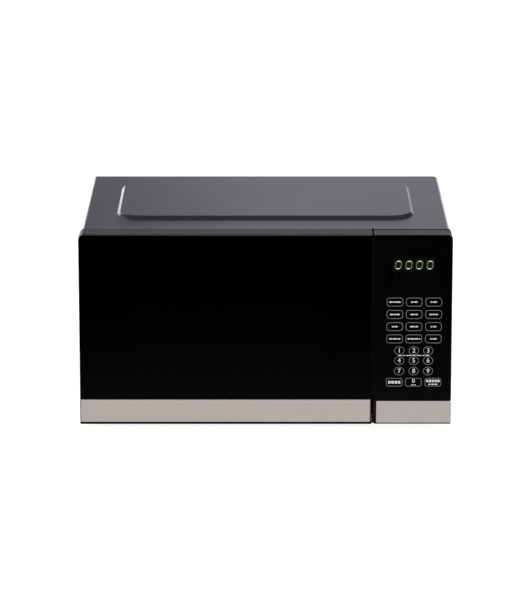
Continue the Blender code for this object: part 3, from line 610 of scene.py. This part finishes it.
def flared_lip(profile, front_y, top):
    """The cover's front edge, which rises a little on top to overlap the fascia."""
    rows = []
    for step in range(4):
        share = step / 3
        rise = LIP[1] * (1 - share) ** 2
        lifted = [(px, pz + rise * max(0.0, 1 - (top - pz) / BEND_R)) for px, pz in profile]
        rows.append([(px, front_y + LIP[0] * share, pz) for px, pz in lifted])
    points = [p for row in rows for p in row]
    count = len(profile)
    return points, quads(len(rows), count)


def quads(rows, count):
    faces = []
    for row in range(rows - 1):
        for i in range(count - 1):
            base = row * count
            faces.append([base + i, base + i + 1, base + count + i + 1, base + count + i])
    return faces


def strip(profile, places):
    """A sheet through an XZ profile at each place along Y."""
    points = [(px, y, pz) for y in places for px, pz in profile]
    return points, quads(len(places), len(profile))


def stadium(centre, length, width, axis, span, upright=True):
    """A slot with round ends."""
    half = (length - width) / 2
    ends = ((half, 0), (-half, 180)) if upright else ((half, -90), (-half, 90))
    outline = []
    for shift, start in ends:
        place = (centre[0], centre[1] + shift) if upright else (centre[0] + shift, centre[1])
        outline += arc(place, width / 2, start, start + 180, 6)
    return prism(outline, axis, span)


def side_vents(x, y, rows):
    """Rows of upright slots through one side of the cover."""
    slots = []
    for z in rows:
        place = y[0]
        while place + VENT_WIDTH <= y[1]:
            centre = (place + VENT_WIDTH / 2, z + VENT_LENGTH / 2)
            slots.append(stadium(centre, VENT_LENGTH, VENT_WIDTH, "x", x))
            place += VENT_PITCH
    return joined(slots)


def make_cover():
    obj = mesh_object("outer_cover_sheet", cover_surface(), PAINT)
    bm = bmesh.new()
    bm.from_mesh(obj.data)
    bmesh.ops.remove_doubles(bm, verts=bm.verts, dist=0.02 * MM)
    bmesh.ops.dissolve_degenerate(bm, edges=bm.edges, dist=0.01 * MM)
    bmesh.ops.recalc_face_normals(bm, faces=bm.faces)
    panel = max(bm.faces, key=lambda face: face.calc_center_median().z)
    if panel.normal.z < 0:
        bmesh.ops.reverse_faces(bm, faces=bm.faces)
    bm.to_mesh(obj.data)
    bm.free()
    shell = obj.modifiers.new("sheet", "SOLIDIFY")
    shell.thickness = SHEET_T * MM
    shell.offset = -1.0
    shell.use_even_offset = True
    x = spans("outer_cover")[0]
    screw_centres = [(middle(spans(node)[0]), middle(spans(node)[2])) for node in SCREW_NODES]
    screw_holes = [prism(circle(centre, 2.4), "y", (170, 180)) for centre in screw_centres]
    carved(
        obj,
        [
            side_vents((x[0] - 5, x[0] + 5), (66, 150), (166, 186)),
            side_vents((x[1] - 5, x[1] + 5), (-112, -28), (44, 64)),
            joined(screw_holes),
        ],
    )
    softened(obj, 0.2, 2, 50)
    fitted(obj, "cabinet", "graphite_paint", "outer_cover")


def make_cabinet():
    make_cover()
    refined("back_plate", ZINC, "grey_steel", 0.15)
    refined("base_plate", ZINC, "grey_steel", 0.3)
    plate = refined("front_plate", ENAMEL, "white_enamel", 0.2)
    plate_x, _, plate_z = spans("front_plate")

    def on_rim(x, y, z):
        return not (plate_x[0] + 1 < x < plate_x[1] - 1 and z < plate_z[1] - 1)

    repainted(plate, PAINT, on_rim)
    refined("cavity_box", ENAMEL, "white_enamel", 0.25)
    refined("cord_gland", BLACK_PLASTIC, "black_plastic", 0.4)
    for node in ("foot_front_left", "foot_front_right", "foot_rear_left", "foot_rear_right"):
        refined(node, RUBBER, "rubber", 0.5, 3)
    for node in SCREW_NODES:
        refined(node, STEEL, "spring_steel", 0.3)
    for node in ("lower_hinge", "upper_hinge"):
        refined(node, ZINC, "grey_steel", 0.3)


# The cavity


def make_cavity_fittings():
    refined("waveguide_cover", MICA, "mica", 0.1)
    refined("turntable_motor", ZINC, "grey_steel", 0.5)
    refined("turntable_coupler", WHITE_PLASTIC, "white_plastic", 0.4)
    refined("glass_tray", TRAY_GLASS, "clear_glass", 0.4)
    refined("roller_ring", WHITE_PLASTIC, "white_plastic", 0.4)
    for n in (1, 2, 3):
        refined(f"roller_{n}", WHITE_PLASTIC, "white_plastic", 0.5)


# The electronics bay


def make_bay():
    for node in ("waveguide", "magnetron_yoke", "magnetron_filter_box"):
        refined(node, ZINC, "grey_steel", 0.5)
    refined("magnetron_core", FIN_METAL, "grey_steel", 0.2)
    refined("transformer_core", LAMINATION, "lamination", 0.3)
    refined("primary_winding", COPPER, "copper", 2.0, 3)
    refined("secondary_winding", COPPER, "copper", 2.0, 3)
    refined("hv_capacitor", ALUMINIUM, "aluminium", 0.6)
    refined("hv_diode", BLACK_PLASTIC, "black_plastic", 0.2)
    refined("thermal_cutout", BLACK_PLASTIC, "black_plastic", 0.3)
    refined("cavity_lamp", BULB, "bulb_glass", 0.0)
    refined("lamp_socket", WHITE_PLASTIC, "white_plastic", 0.4)
    refined("fan_shroud", BLACK_PLASTIC, "black_plastic", 0.5)
    refined("fan_motor", LAMINATION, "lamination", 0.4)
    refined("cooling_fan", WHITE_PLASTIC, "white_plastic", 0.3)
    refined("latch_bracket", WHITE_PLASTIC, "white_plastic", 0.4)
    refined("lower_door_switch", BLACK_PLASTIC, "black_plastic", 0.3)
    refined("upper_door_switch", BLACK_PLASTIC, "black_plastic", 0.3)
    refined("release_lever", WHITE_PLASTIC, "white_plastic", 0.3)


# The control panel


BOARD_BACK_Y = -156.0  # the board's tall parts stand behind this
KEY_COLUMNS = (156.6, 179.9, 203.6)
KEY_ROWS = (162.1, 146.6, 131.4, 116.1)
KEY_SIZE = (19.6, 10.6)
KEY_WORDS = (
    (4, 3, 5), (3, 4), (2, 5),
    (4, 2, 4), (5, 3), (3, 3, 3),
    (3, 3), (5, 4), (2, 4),
    (4, 5, 3), (3, 4, 4, 2), (2, 5),
)
NUMBER_COLUMNS = (162.4, 180.1, 197.5)
NUMBER_ROWS = (101.3, 88.8, 75.7)
NUMBER_SIZE = (11.9, 10.2)
LAST_ROW = 61.6
LINE = 0.38  # width of a printed line
PRINT_T = 0.04
SMALL_PRINT_Z = 95.3
WINDOW_Z = (175.1, 222.4)
DIGIT_TOPS = (203.0, 212.8)
DIGIT_FIRST = 156.2
DIGIT_PITCH = 12.75
DIGIT_WIDTH = 8.4
STROKE = 0.62  # thickness of a numeral's top and bottom bars
UPRIGHT_STROKE = 0.55
SLANT = 0.12


def outlined(centre, size, radius, y):
    """A printed rounded frame."""
    u = grown((centre[0], centre[0]), size[0] / 2)
    v = grown((centre[1], centre[1]), size[1] / 2)
    outer = rounded(u, v, radius)
    inner = rounded(grown(u, -LINE), grown(v, -LINE), radius - LINE)
    return hollow(outer, inner, "y", y)


def dashes(centre, widths, y, height=1.5):
    """A row of short bars, in place of a printed word."""
    gap = 0.8
    place = centre[0] - (sum(widths) + gap * (len(widths) - 1)) / 2
    bars = []
    for width in widths:
        v = grown((centre[1], centre[1]), height / 2)
        bars.append(prism(rounded((place, place + width), v, 0.4, 3), "y", y))
        place += width + gap
    return bars


def figure(text, centre, height, y):
    """A numeral from Blender's own font, as a thin printed mesh."""
    curve = bpy.data.curves.new("figure", "FONT")
    curve.body = text
    curve.size = height * 1.4
    curve.align_x = "CENTER"
    curve.align_y = "CENTER"
    curve.extrude = PRINT_T / 2
    curve.offset = 0.06
    curve.resolution_u = 3
    obj = bpy.data.objects.new("figure", curve)
    scene.collection.objects.link(obj)
    bpy.context.view_layer.update()
    mesh = bpy.data.meshes.new_from_object(obj.evaluated_get(bpy.context.evaluated_depsgraph_get()))
    bm = bmesh.new()
    bm.from_mesh(mesh)
    bmesh.ops.remove_doubles(bm, verts=bm.verts, dist=0.002)
    bm.verts.index_update()
    points = [(centre[0] + v.co.x, middle(y) + v.co.z, centre[1] + v.co.y) for v in bm.verts]
    faces = [[v.index for v in f.verts] for f in bm.faces]
    bm.free()
    bpy.data.objects.remove(obj)
    return points, faces


def make_keypad():
    x, y, z = spans("keypad_membrane")
    radii = (1, 1, 5.6, 1)
    window_x = spans("display_module")[0]
    window = rounded(grown(window_x, 0.36), grown(WINDOW_Z, 0.36), 2)
    sheet = mesh_object("keypad_overlay", prism(rounded(x, z, radii), "y", y), OVERLAY)
    carved(sheet, [prism(window, "y", grown(y, 2))])
    softened(sheet, 0)
    fitted(sheet, "cabinet", "black_gloss", "keypad_membrane")
    lens_y = (y[0] + 0.02, y[0] + 0.8)
    shape = prism(rounded(grown(window_x, 0.3), grown(WINDOW_Z, 0.3), 1.8), "y", lens_y)
    lens = mesh_object("display_lens", shape, LENS)
    softened(lens, 0)
    fitted(lens, "cabinet", "black_gloss")
    ink = (y[0] - PRINT_T, y[0] - 0.002)
    lines, shapes = [], []
    for index, word in enumerate(KEY_WORDS):
        centre = (KEY_COLUMNS[index % 3], KEY_ROWS[index // 3])
        lines.append(outlined(centre, KEY_SIZE, 3.4, ink))
        shapes += dashes(centre, word, ink)
    for index in range(9):
        centre = (NUMBER_COLUMNS[index % 3], NUMBER_ROWS[index // 3])
        lines.append(outlined(centre, NUMBER_SIZE, 5.2, ink))
        shapes.append(figure(str(index + 1), centre, 5.6, ink))
    small_print = (middle((NUMBER_COLUMNS[0], NUMBER_COLUMNS[2])), SMALL_PRINT_Z)
    shapes += dashes(small_print, (5, 3, 7, 4, 6, 3, 5), ink, 0.9)
    for column in KEY_COLUMNS:
        lines.append(outlined((column, LAST_ROW), (KEY_SIZE[0], 10.2), 2.4, ink))
    shapes += dashes((KEY_COLUMNS[0], LAST_ROW), (3.1, 3.1, 3.1, 3.1), ink, 3.4)
    shapes.append(figure("0", (KEY_COLUMNS[1], LAST_ROW + 1.4), 5.0, ink))
    shapes += dashes((KEY_COLUMNS[1], LAST_ROW - 3.4), (3, 2), ink, 1.0)
    shapes += dashes((KEY_COLUMNS[2], LAST_ROW + 1.6), (2.6, 2.6, 2.6, 2.6, 2.6), ink, 3.0)
    shapes += dashes((KEY_COLUMNS[2], LAST_ROW - 2.6), (2.6, 3.4, 3.4), ink, 1.5)
    fitted(mesh_object("keypad_print", joined(shapes), PALE_PRINT), "cabinet", "white_plastic")
    fitted(mesh_object("keypad_lines", joined(lines), LINE_PRINT), "cabinet", "white_plastic")


def segment(one, two, stroke, trim):
    """One bar of a numeral, pointed at both ends, as (x, z) points."""
    along = (Vector(two) - Vector(one)).normalized()
    side = Vector((-along.y, along.x)) * stroke / 2
    start, end = Vector(one) + along * trim, Vector(two) - along * trim
    back = along * stroke / 2
    near = [start, start + back + side, end - back + side]
    far = [end, end - back - side, start + back - side]
    return [tuple(p) for p in near + far]


def numeral_corners(index):
    """The six corners of a leaning 0, as (x, z) points: low, middle and high, left then right."""
    low, high = DIGIT_TOPS
    left = DIGIT_FIRST + index * DIGIT_PITCH + STROKE / 2
    right = left + DIGIT_WIDTH - STROKE - SLANT * (high - low)
    levels = ((low, STROKE / 2), (middle((low, high)), 0), (high, -STROKE / 2))
    return [(px + SLANT * (pz - low), pz + inset) for pz, inset in levels for px in (left, right)]


def make_display():
    refined("display_module", DISPLAY_FACE, "lit_display", 0.3)
    face = spans("display_module")[1][0]
    low, high = DIGIT_TOPS
    bars, uprights = [], []
    for index in range(4):
        corners = numeral_corners(index)
        for one, two in ((0, 1), (4, 5)):
            outline = segment(corners[one], corners[two], STROKE, 1.0)
            bars.append(prism(outline, "y", (face - 0.25, face - 0.05)))
        for one, two in ((0, 2), (2, 4), (1, 3), (3, 5)):
            outline = segment(corners[one], corners[two], UPRIGHT_STROKE, 0.6)
            uprights.append(prism(outline, "y", (face - 0.25, face - 0.05)))
    colour = (0.66, 0.78, 0.5)
    ends = mesh_object("display_bars", joined(bars), lit_look("lit_bars", colour, 4.4))
    fitted(ends, "cabinet", "lit_display")
    sides = mesh_object("display_uprights", joined(uprights), lit_look("lit_uprights", colour, 1.45))
    fitted(sides, "cabinet", "lit_display")
    glow_x = tuple(DIGIT_FIRST + DIGIT_WIDTH / 2 + share * DIGIT_PITCH for share in (-0.5, 3.5))
    glow_box = prism(rounded(glow_x, (low - 5, high + 5), 2), "y", (face - 0.045, face - 0.01))
    glow = mesh_object("display_glow", glow_box, glow_look())
    fitted(glow, "cabinet", "lit_display")


def glow_look():
    """Green light that spills from each numeral onto the display's face."""
    look = Look("display_glow", (0.002, 0.004, 0.002), 0.5)
    split = look.node("SeparateXYZ")
    look.tree.links.new(look.coordinates(), split.inputs["Vector"])
    repeat = look.node("Math", operation="PINGPONG")
    shifted = look.node("Math", operation="SUBTRACT")
    shifted.inputs[1].default_value = (DIGIT_FIRST + DIGIT_WIDTH / 2 - DIGIT_PITCH) * MM
    look.tree.links.new(split.outputs["X"], shifted.inputs[0])
    repeat.inputs[1].default_value = DIGIT_PITCH / 2 * MM
    look.tree.links.new(shifted.outputs["Value"], repeat.inputs[0])
    across = look.ranged(repeat.outputs["Value"], 1.0, 0.0, 3.2 * MM, 6.4 * MM)
    away = look.node("Math", operation="SUBTRACT")
    away.inputs[1].default_value = middle(DIGIT_TOPS) * MM
    look.tree.links.new(split.outputs["Z"], away.inputs[0])
    size = look.node("Math", operation="ABSOLUTE")
    look.tree.links.new(away.outputs["Value"], size.inputs[0])
    upright = look.ranged(size.outputs["Value"], 1.0, 0.0, 4.0 * MM, 8.6 * MM)
    both = look.node("Math", operation="MULTIPLY")
    look.tree.links.new(across, both.inputs[0])
    look.tree.links.new(upright, both.inputs[1])
    look.set("Emission Color", (0.12, 0.3, 0.0, 1.0))
    strength = look.ranged(both.outputs["Value"], 0.0, 0.085, 0.0, 1.0)
    look.link(strength, "Emission Strength")
    return look.material


def make_gap_shade():
    """A matt black fin on the panel that closes the gap beside the door, and a strip behind it: both
    painted shade in that gap.
    """
    x, y, z = spans("control_housing")
    door_right = spans("door_frame")[0][1]
    plate_y = spans("front_plate")[1][0]
    gap_fin_shade = box((door_right + 0.15, x[0]), (y[0] + 4, y[0] + 5), (z[0] - 0.7, z[1]))
    fitted(mesh_object("panel_gap_seal", gap_fin_shade, SHADE_AND_LIP_BLACK), "cabinet", "rubber")
    plate_strip_shade = box((x[0] - 4.5, x[0] + 1), (plate_y - 0.5, plate_y - 0.05), grown(z, -1))
    fitted(mesh_object("door_buffer_strip", plate_strip_shade, SHADE_AND_LIP_BLACK), "cabinet", "rubber")


def make_sill(name, node):
    """A thin lip under the steel strip."""
    x, y, z = spans(node)
    lip = box(grown(x, -0.4), (y[0] + 0.1, y[0] + 4), (z[0] - 0.8, z[0] + 0.4))
    fitted(softened(mesh_object(name, lip, SHADE_AND_LIP_BLACK), 0.1), body_of(node), "black_plastic")


def make_bead(name, node, x):
    """A glossy bead along the fascia's top, beside the cover."""
    _, y, z = spans(node)
    bead = box(x, (y[1] - 5.4, y[1] - 0.4), (z[1] - 0.3, z[1] + 0.06))
    fitted(mesh_object(name, bead, PAINT), body_of(node), "black_plastic")


def steel_strip(node, name, left, right):
    """A brushed strip whose ends run on past the plain one's by so many millimetres."""
    x, y, z = spans(node)
    face = prism(rounded((x[0] - left, x[1] + right), (z[0] + 0.1, z[1] - 0.2), 0.6, 3), "y", y)
    fitted(softened(mesh_object(name, face, BRUSHED), 0.35, 3), body_of(node), "brushed_steel", node)


def make_panel():
    housing = refined("control_housing", SHADED_PLASTIC, "black_plastic", 0.0)
    housing.modifiers.clear()
    x, y, z = spans("control_housing")
    groove_y = (y[1] - 9.8, y[1] - 5.6)
    wide = rounded(grown(x, 3), grown(z, 3), 6)
    narrow = rounded((x[0] - 2, x[1] - 1.2), (z[0] - 2, z[1] - 1.2), (1, 1, 5, 1))
    carved(housing, [hollow(wide, narrow, "y", groove_y)])
    baked(softened(housing, 0.5, 3))

    # Painted shade: below its top the fascia keeps the darker copy of the plastic, and its upright front
    # edges turn glossless black.
    def painted_shade_edge(px, py, pz):
        return not x[0] + 0.6 < px < x[1] - 0.6 and py < y[0] + 3 and pz < z[1] - 1

    repainted(housing, BLACK_PLASTIC, lambda px, py, pz: pz > z[1] - 1)
    repainted(housing, PRINT_AND_SHADE_BLACK, painted_shade_edge)
    make_sill("panel_sill", "control_housing")
    make_bead("panel_bead", "control_housing", (x[0] + 0.6, x[1] - 6.0))
    make_gap_shade()
    make_keypad()
    make_display()
    board = refined("control_board", BOARD, "circuit_board", 0.3)
    repainted(board, BLACK_PLASTIC, lambda px, py, pz: py > BOARD_BACK_Y)
    refined("release_button", BLACK_PLASTIC, "black_plastic", 0.5, 3)
    steel_strip("button_trim", "button_trim_brushed", -0.95, 0.4)


# The door


def make_door():
    door_x, _, door_z = spans("door_frame")
    shell = baked(refined("door_frame", SHADED_PLASTIC, "black_plastic", 0.5, 3))
    # Painted shade: the frame is the darker copy of the black plastic except its top, and its right edge
    # beside the panel gap is glossless black.
    repainted(shell, BLACK_PLASTIC, lambda px, py, pz: pz > door_z[1] - 1)
    repainted(shell, PRINT_AND_SHADE_BLACK, lambda px, py, pz: px > door_x[1] - 0.6 and pz < door_z[1] - 1)
    make_sill("door_sill", "door_frame")
    make_bead("door_bead", "door_frame", (door_x[0] + 11, door_x[1] - 0.6))
    make_door_glass()
    steel_strip("door_trim", "door_trim_brushed", 0.0, 0.8)
    refined("door_choke_frame", DARK_STEEL, "dark_steel", 0.3)
    refined("door_inner_cover", BLACK_PLASTIC, "black_plastic", 0.5, 3)
    refined("door_inner_window", SMOKED, "smoked_film", 0.1)
    refined("door_latch", WHITE_PLASTIC, "white_plastic", 0.5)
    make_screen()


def make_door_glass():
    """A clear pane with a black border printed on its back."""
    x, y, z = spans("door_glass")
    screen_x, _, screen_z = spans("door_screen")
    radii = (1, 1, 1, 6)
    print_y = (y[1] - 0.12, y[1])
    shape = prism(rounded(x, z, radii), "y", (y[0], print_y[0] - 0.02))
    pane = mesh_object("door_glass_pane", shape, DOOR_PANE)
    softened(pane, 0.35, 2)
    pane.data.materials.append(GROUND_EDGE)
    pane.modifiers["edges"].material = 1
    fitted(pane, "door", "black_gloss", "door_glass")
    outer = rounded(grown(x, -0.3), grown(z, -0.3), radii, 8)
    window = rounded(grown(screen_x, 0.3), grown(screen_z, 0.3), 8, 8)
    border = mesh_object("door_glass_print", hollow(outer, window, "y", print_y), PRINT_AND_SHADE_BLACK)
    fitted(border, "door", "black_gloss")


HOLE_PITCH = 3.6
HOLE_R = 1.35
SCREEN_MARGIN = 4.0


def hexagon(cx, cz, radius):
    turns = [k * math.pi / 3 for k in range(6)]
    return [(cx + radius * math.sin(turn), cz + radius * math.cos(turn)) for turn in turns]


def honeycomb(x, z):
    """(cell, hole) outlines of a perforated field."""
    cell_r = HOLE_PITCH / math.sqrt(3)
    cells = []
    row = 0
    cz = z[0]
    while cz < z[1]:
        cx = x[0] + (HOLE_PITCH / 2 if row % 2 else 0)
        while cx < x[1]:
            cells.append((hexagon(cx, cz, cell_r), hexagon(cx, cz, HOLE_R)))
            cx += HOLE_PITCH
        cz += cell_r * 1.5
        row += 1
    return cells


def make_screen():
    """A perforated sheet: a hexagonal hole in each cell of a honeycomb, inside a plain margin."""
    x, y, z = spans("door_screen")
    sheet_y = grown((middle(y), middle(y)), 0.15)
    cells = honeycomb(grown(x, 1 - SCREEN_MARGIN), grown(z, 1 - SCREEN_MARGIN))
    points, faces = [], []
    for cell, hole in cells:
        base = len(points)
        for outline in (cell, hole):
            for depth in sheet_y:
                points += [(u, depth, v) for u, v in outline]
        for i in range(6):
            j = (i + 1) % 6
            faces.append([base + i, base + j, base + 12 + j, base + 12 + i])
            faces.append([base + 6 + j, base + 6 + i, base + 18 + i, base + 18 + j])
            faces.append([base + 12 + i, base + 12 + j, base + 18 + j, base + 18 + i])
    mesh = bpy.data.meshes.new("door_screen_sheet")
    mesh.from_pydata([[c * MM for c in p] for p in points], [], faces)
    mesh.materials.append(DARK_STEEL)
    screen = bpy.data.objects.new("door_screen_sheet", mesh)
    scene.collection.objects.link(screen)
    bm = bmesh.new()
    bm.from_mesh(mesh)
    bmesh.ops.remove_doubles(bm, verts=bm.verts, dist=0.01 * MM)
    bm.to_mesh(mesh)
    bm.free()
    fitted(screen, "door", "dark_steel", "door_screen")
    # The margin lies over the honeycomb's ragged edge.
    inner = rounded(grown(x, -SCREEN_MARGIN), grown(z, -SCREEN_MARGIN), 5)
    margin = mesh_object("door_screen_margin", hollow(rounded(x, z, 8), inner, "y", y), DARK_STEEL)
    softened(margin, 0.1)
    fitted(margin, "door", "dark_steel")


# Springs


def coil(axis, centre, radius, span, turns, wire):
    per_turn = 20
    count = turns * per_turn
    path = []
    for i in range(count + 1):
        angle = 2 * math.pi * i / per_turn
        along = span[0] + (span[1] - span[0]) * i / count
        across = (centre[0] + radius * math.cos(angle), centre[1] + radius * math.sin(angle))
        path.append(placed(axis, *across, along))
    return swept(path, wire / 2, 8)


def make_springs():
    for node, axis, joint, turns, wire, travel in (
        ("button_spring", "y", "button_press", 5, 0.8, 4.5),
        ("latch_spring", "z", "latch_lift", 13, 0.7, 4.4),
    ):
        box_spans = dict(zip("xyz", spans(node)))
        along = box_spans.pop(axis)
        u, v = box_spans.values()
        radius = (u[1] - u[0]) / 2 - wire / 2
        shape = coil(axis, (middle(u), middle(v)), radius, grown(along, -wire / 2), turns, wire)
        spring = mesh_object(f"{node}_coil", shape, STEEL)
        softened(spring, 0, sharp=60)
        fitted(spring, body_of(node), "spring_steel", node)
        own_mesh(baked(spring))


# Studio


CAMERA_PLACE = (0.0, -4.1544, 1.1496)
CAMERA_TILT = 13.9
LENS_MM = 203.4
BEHIND_TINT = (1.0, 0.985, 1.1)  # the cool backdrop that the top mirrors


def make_camera():
    data = bpy.data.cameras.new("camera")
    data.lens = LENS_MM
    data.sensor_width = 36.0
    data.clip_end = 100.0
    camera = bpy.data.objects.new("camera", data)
    camera.location = CAMERA_PLACE
    camera.rotation_euler = (math.radians(90 - CAMERA_TILT), 0, 0)
    scene.collection.objects.link(camera)
    scene.camera = camera


def make_floor():
    look = Look("floor", (0.3, 0.3, 0.3), 0.9)
    look.set("Emission Color", (1.0, 1.0, 1.0, 1.0))
    look.set("Emission Strength", 0.93)
    look.tinted(look.noise(900, 2), 0.99, 1.01)
    half = 30000.0
    corners = [(-half, -half), (half, -half), (half, half), (-half, half)]
    floor = mesh_object("floor", prism(corners, "z", (-20.0, -0.2)), look.material)
    floor.visible_glossy = False
    floor.visible_transmission = False


def soft_light(name, place, target, size, radiance):
    data = bpy.data.lights.new(name, "AREA")
    data.shape = "RECTANGLE"
    data.size, data.size_y = size
    data.energy = radiance * size[0] * size[1] * math.pi
    light = bpy.data.objects.new(name, data)
    light.location = place
    light.rotation_euler = (Vector(target) - Vector(place)).to_track_quat("-Z", "Y").to_euler()
    scene.collection.objects.link(light)


class Sky:
    """The world's light as a function of direction."""

    def __init__(self, tree):
        self.tree = tree

    def math(self, operation, *values):
        node = self.tree.nodes.new("ShaderNodeMath")
        node.operation = operation
        for index, value in enumerate(values):
            self.feed(value, node.inputs[index])
        return node.outputs["Value"]

    def feed(self, value, socket):
        if isinstance(value, (int, float)):
            socket.default_value = value
        else:
            self.tree.links.new(value, socket)

    def ramp(self, value, start, end, low, high):
        """Goes smoothly from low at start to high at end."""
        node = self.tree.nodes.new("ShaderNodeMapRange")
        node.interpolation_type = "SMOOTHSTEP"
        for socket, number in (("From Min", start), ("From Max", end), ("To Min", low), ("To Max", high)):
            self.feed(number, node.inputs[socket])
        self.feed(value, node.inputs["Value"])
        return node.outputs["Result"]

    def blend(self, share, low, high):
        node = self.tree.nodes.new("ShaderNodeMix")
        node.data_type = "FLOAT"
        self.feed(share, node.inputs[0])
        self.feed(low, node.inputs[2])
        self.feed(high, node.inputs[3])
        return node.outputs[0]


def front_light(sky, z):
    """Bright above and far below, with a dark band between that the black glass mirrors."""
    low = sky.ramp(z, -0.44, -0.235, 0.8, 0.0)
    high = sky.math("MULTIPLY", sky.ramp(z, -0.13, 0.0, 0.0, 1.5), sky.ramp(z, 0.12, 0.35, 1.0, 0.35))
    return sky.math("ADD", low, high)


def backdrop_light(sky, x, z):
    """A grey wall behind, lightest in the middle, with a lamp high on its left."""
    wall = sky.ramp(x, -0.055, 0.008, 0.2, 0.58)
    wall = sky.math("MULTIPLY", wall, sky.ramp(x, 0.0, 0.06, 1.0, 0.86))
    wall = sky.math("MULTIPLY", wall, sky.ramp(x, 0.06, 0.3, 1.0, 0.4))
    lamp = sky.math("MULTIPLY", sky.ramp(x, -0.44, -0.26, 3.2, 0.0), sky.ramp(z, 0.1, 0.24, 0.0, 1.0))
    lamp = sky.math("MULTIPLY", lamp, sky.ramp(x, -0.62, -0.52, 0.06, 1.0))
    lamp = sky.math("MULTIPLY", lamp, sky.ramp(z, 0.68, 0.85, 1.0, 0.0))
    return sky.math("ADD", wall, lamp)


def ground_light(sky, x, z):
    """The bright table behind, brightest at the left, with a darker patch low on either side."""
    light = sky.math("ADD", sky.ramp(x, -0.2, -0.06, 4.0, 1.5), sky.ramp(x, 0.12, 0.2, 0.0, 1.0))
    light = sky.math("MULTIPLY", light, sky.ramp(x, -0.36, -0.28, 0.3, 1.0))
    light = sky.math("MULTIPLY", light, sky.ramp(x, 0.28, 0.36, 1.0, 0.3))
    aside = sky.math("ABSOLUTE", x)
    light = sky.math("ADD", light, sky.ramp(aside, 0.45, 0.65, 0.0, 0.55))
    dip = sky.math("MULTIPLY", sky.ramp(aside, 0.04, 0.1, 0.0, 0.8), sky.ramp(aside, 0.4, 0.5, 1.0, 0.0))
    dip = sky.math("MULTIPLY", dip, sky.ramp(z, -0.24, -0.17, 1.0, 0.0))
    return sky.math("MULTIPLY", light, sky.math("SUBTRACT", 1.0, dip))


def light_behind(sky, x, z):
    """The table up to the horizon, and the backdrop above it."""
    horizon = sky.math("ADD", z, sky.ramp(x, 0.03, 0.16, 0.0, 0.02))
    horizon = sky.math("ADD", horizon, sky.ramp(x, -0.16, -0.05, -0.04, 0.0))
    return sky.ramp(horizon, 0.0, 0.16, ground_light(sky, x, z), backdrop_light(sky, x, z))


def make_world():
    """White all round for the eye and for matt surfaces; glossy ones see a studio with a dark front."""
    world = bpy.data.worlds.new("studio")
    scene.world = world
    world.use_nodes = True
    world.cycles.sampling_method = "NONE"
    tree = world.node_tree
    sky = Sky(tree)
    direction = tree.nodes.new("ShaderNodeSeparateXYZ")
    tree.links.new(tree.nodes.new("ShaderNodeTexCoord").outputs["Generated"], direction.inputs["Vector"])
    x, y, z = (direction.outputs[axis] for axis in "XYZ")
    path = tree.nodes.new("ShaderNodeLightPath")
    front = front_light(sky, z)
    behind = light_behind(sky, x, z)
    is_behind = sky.ramp(y, 0.1, 0.5, 0.0, 1.0)
    mirrored = sky.math("MAXIMUM", path.outputs["Is Glossy Ray"], path.outputs["Is Transmission Ray"])
    light = sky.blend(mirrored, 1.0, sky.blend(is_behind, front, behind))
    light = sky.blend(path.outputs["Is Camera Ray"], light, 1.0)
    background = tree.nodes["Background"]
    tint = tree.nodes.new("ShaderNodeMix")
    tint.data_type = "RGBA"
    tint.inputs[6].default_value = (1.0, 1.0, 1.0, 1.0)
    tint.inputs[7].default_value = (*BEHIND_TINT, 1.0)
    tree.links.new(sky.math("MULTIPLY", mirrored, is_behind), tint.inputs[0])
    tree.links.new(tint.outputs[2], background.inputs["Color"])
    tree.links.new(light, background.inputs["Strength"])


def make_studio():
    make_camera()
    make_floor()
    make_world()
    soft_light("top_box", (-0.3, -2.6, 2.6), (0.0, 0.0, 0.15), (1.6, 1.0), 1.6)
    scene.view_settings.view_transform = "Standard"


make_cabinet()
make_cavity_fittings()
make_bay()
make_panel()
make_door()
make_springs()
make_studio()
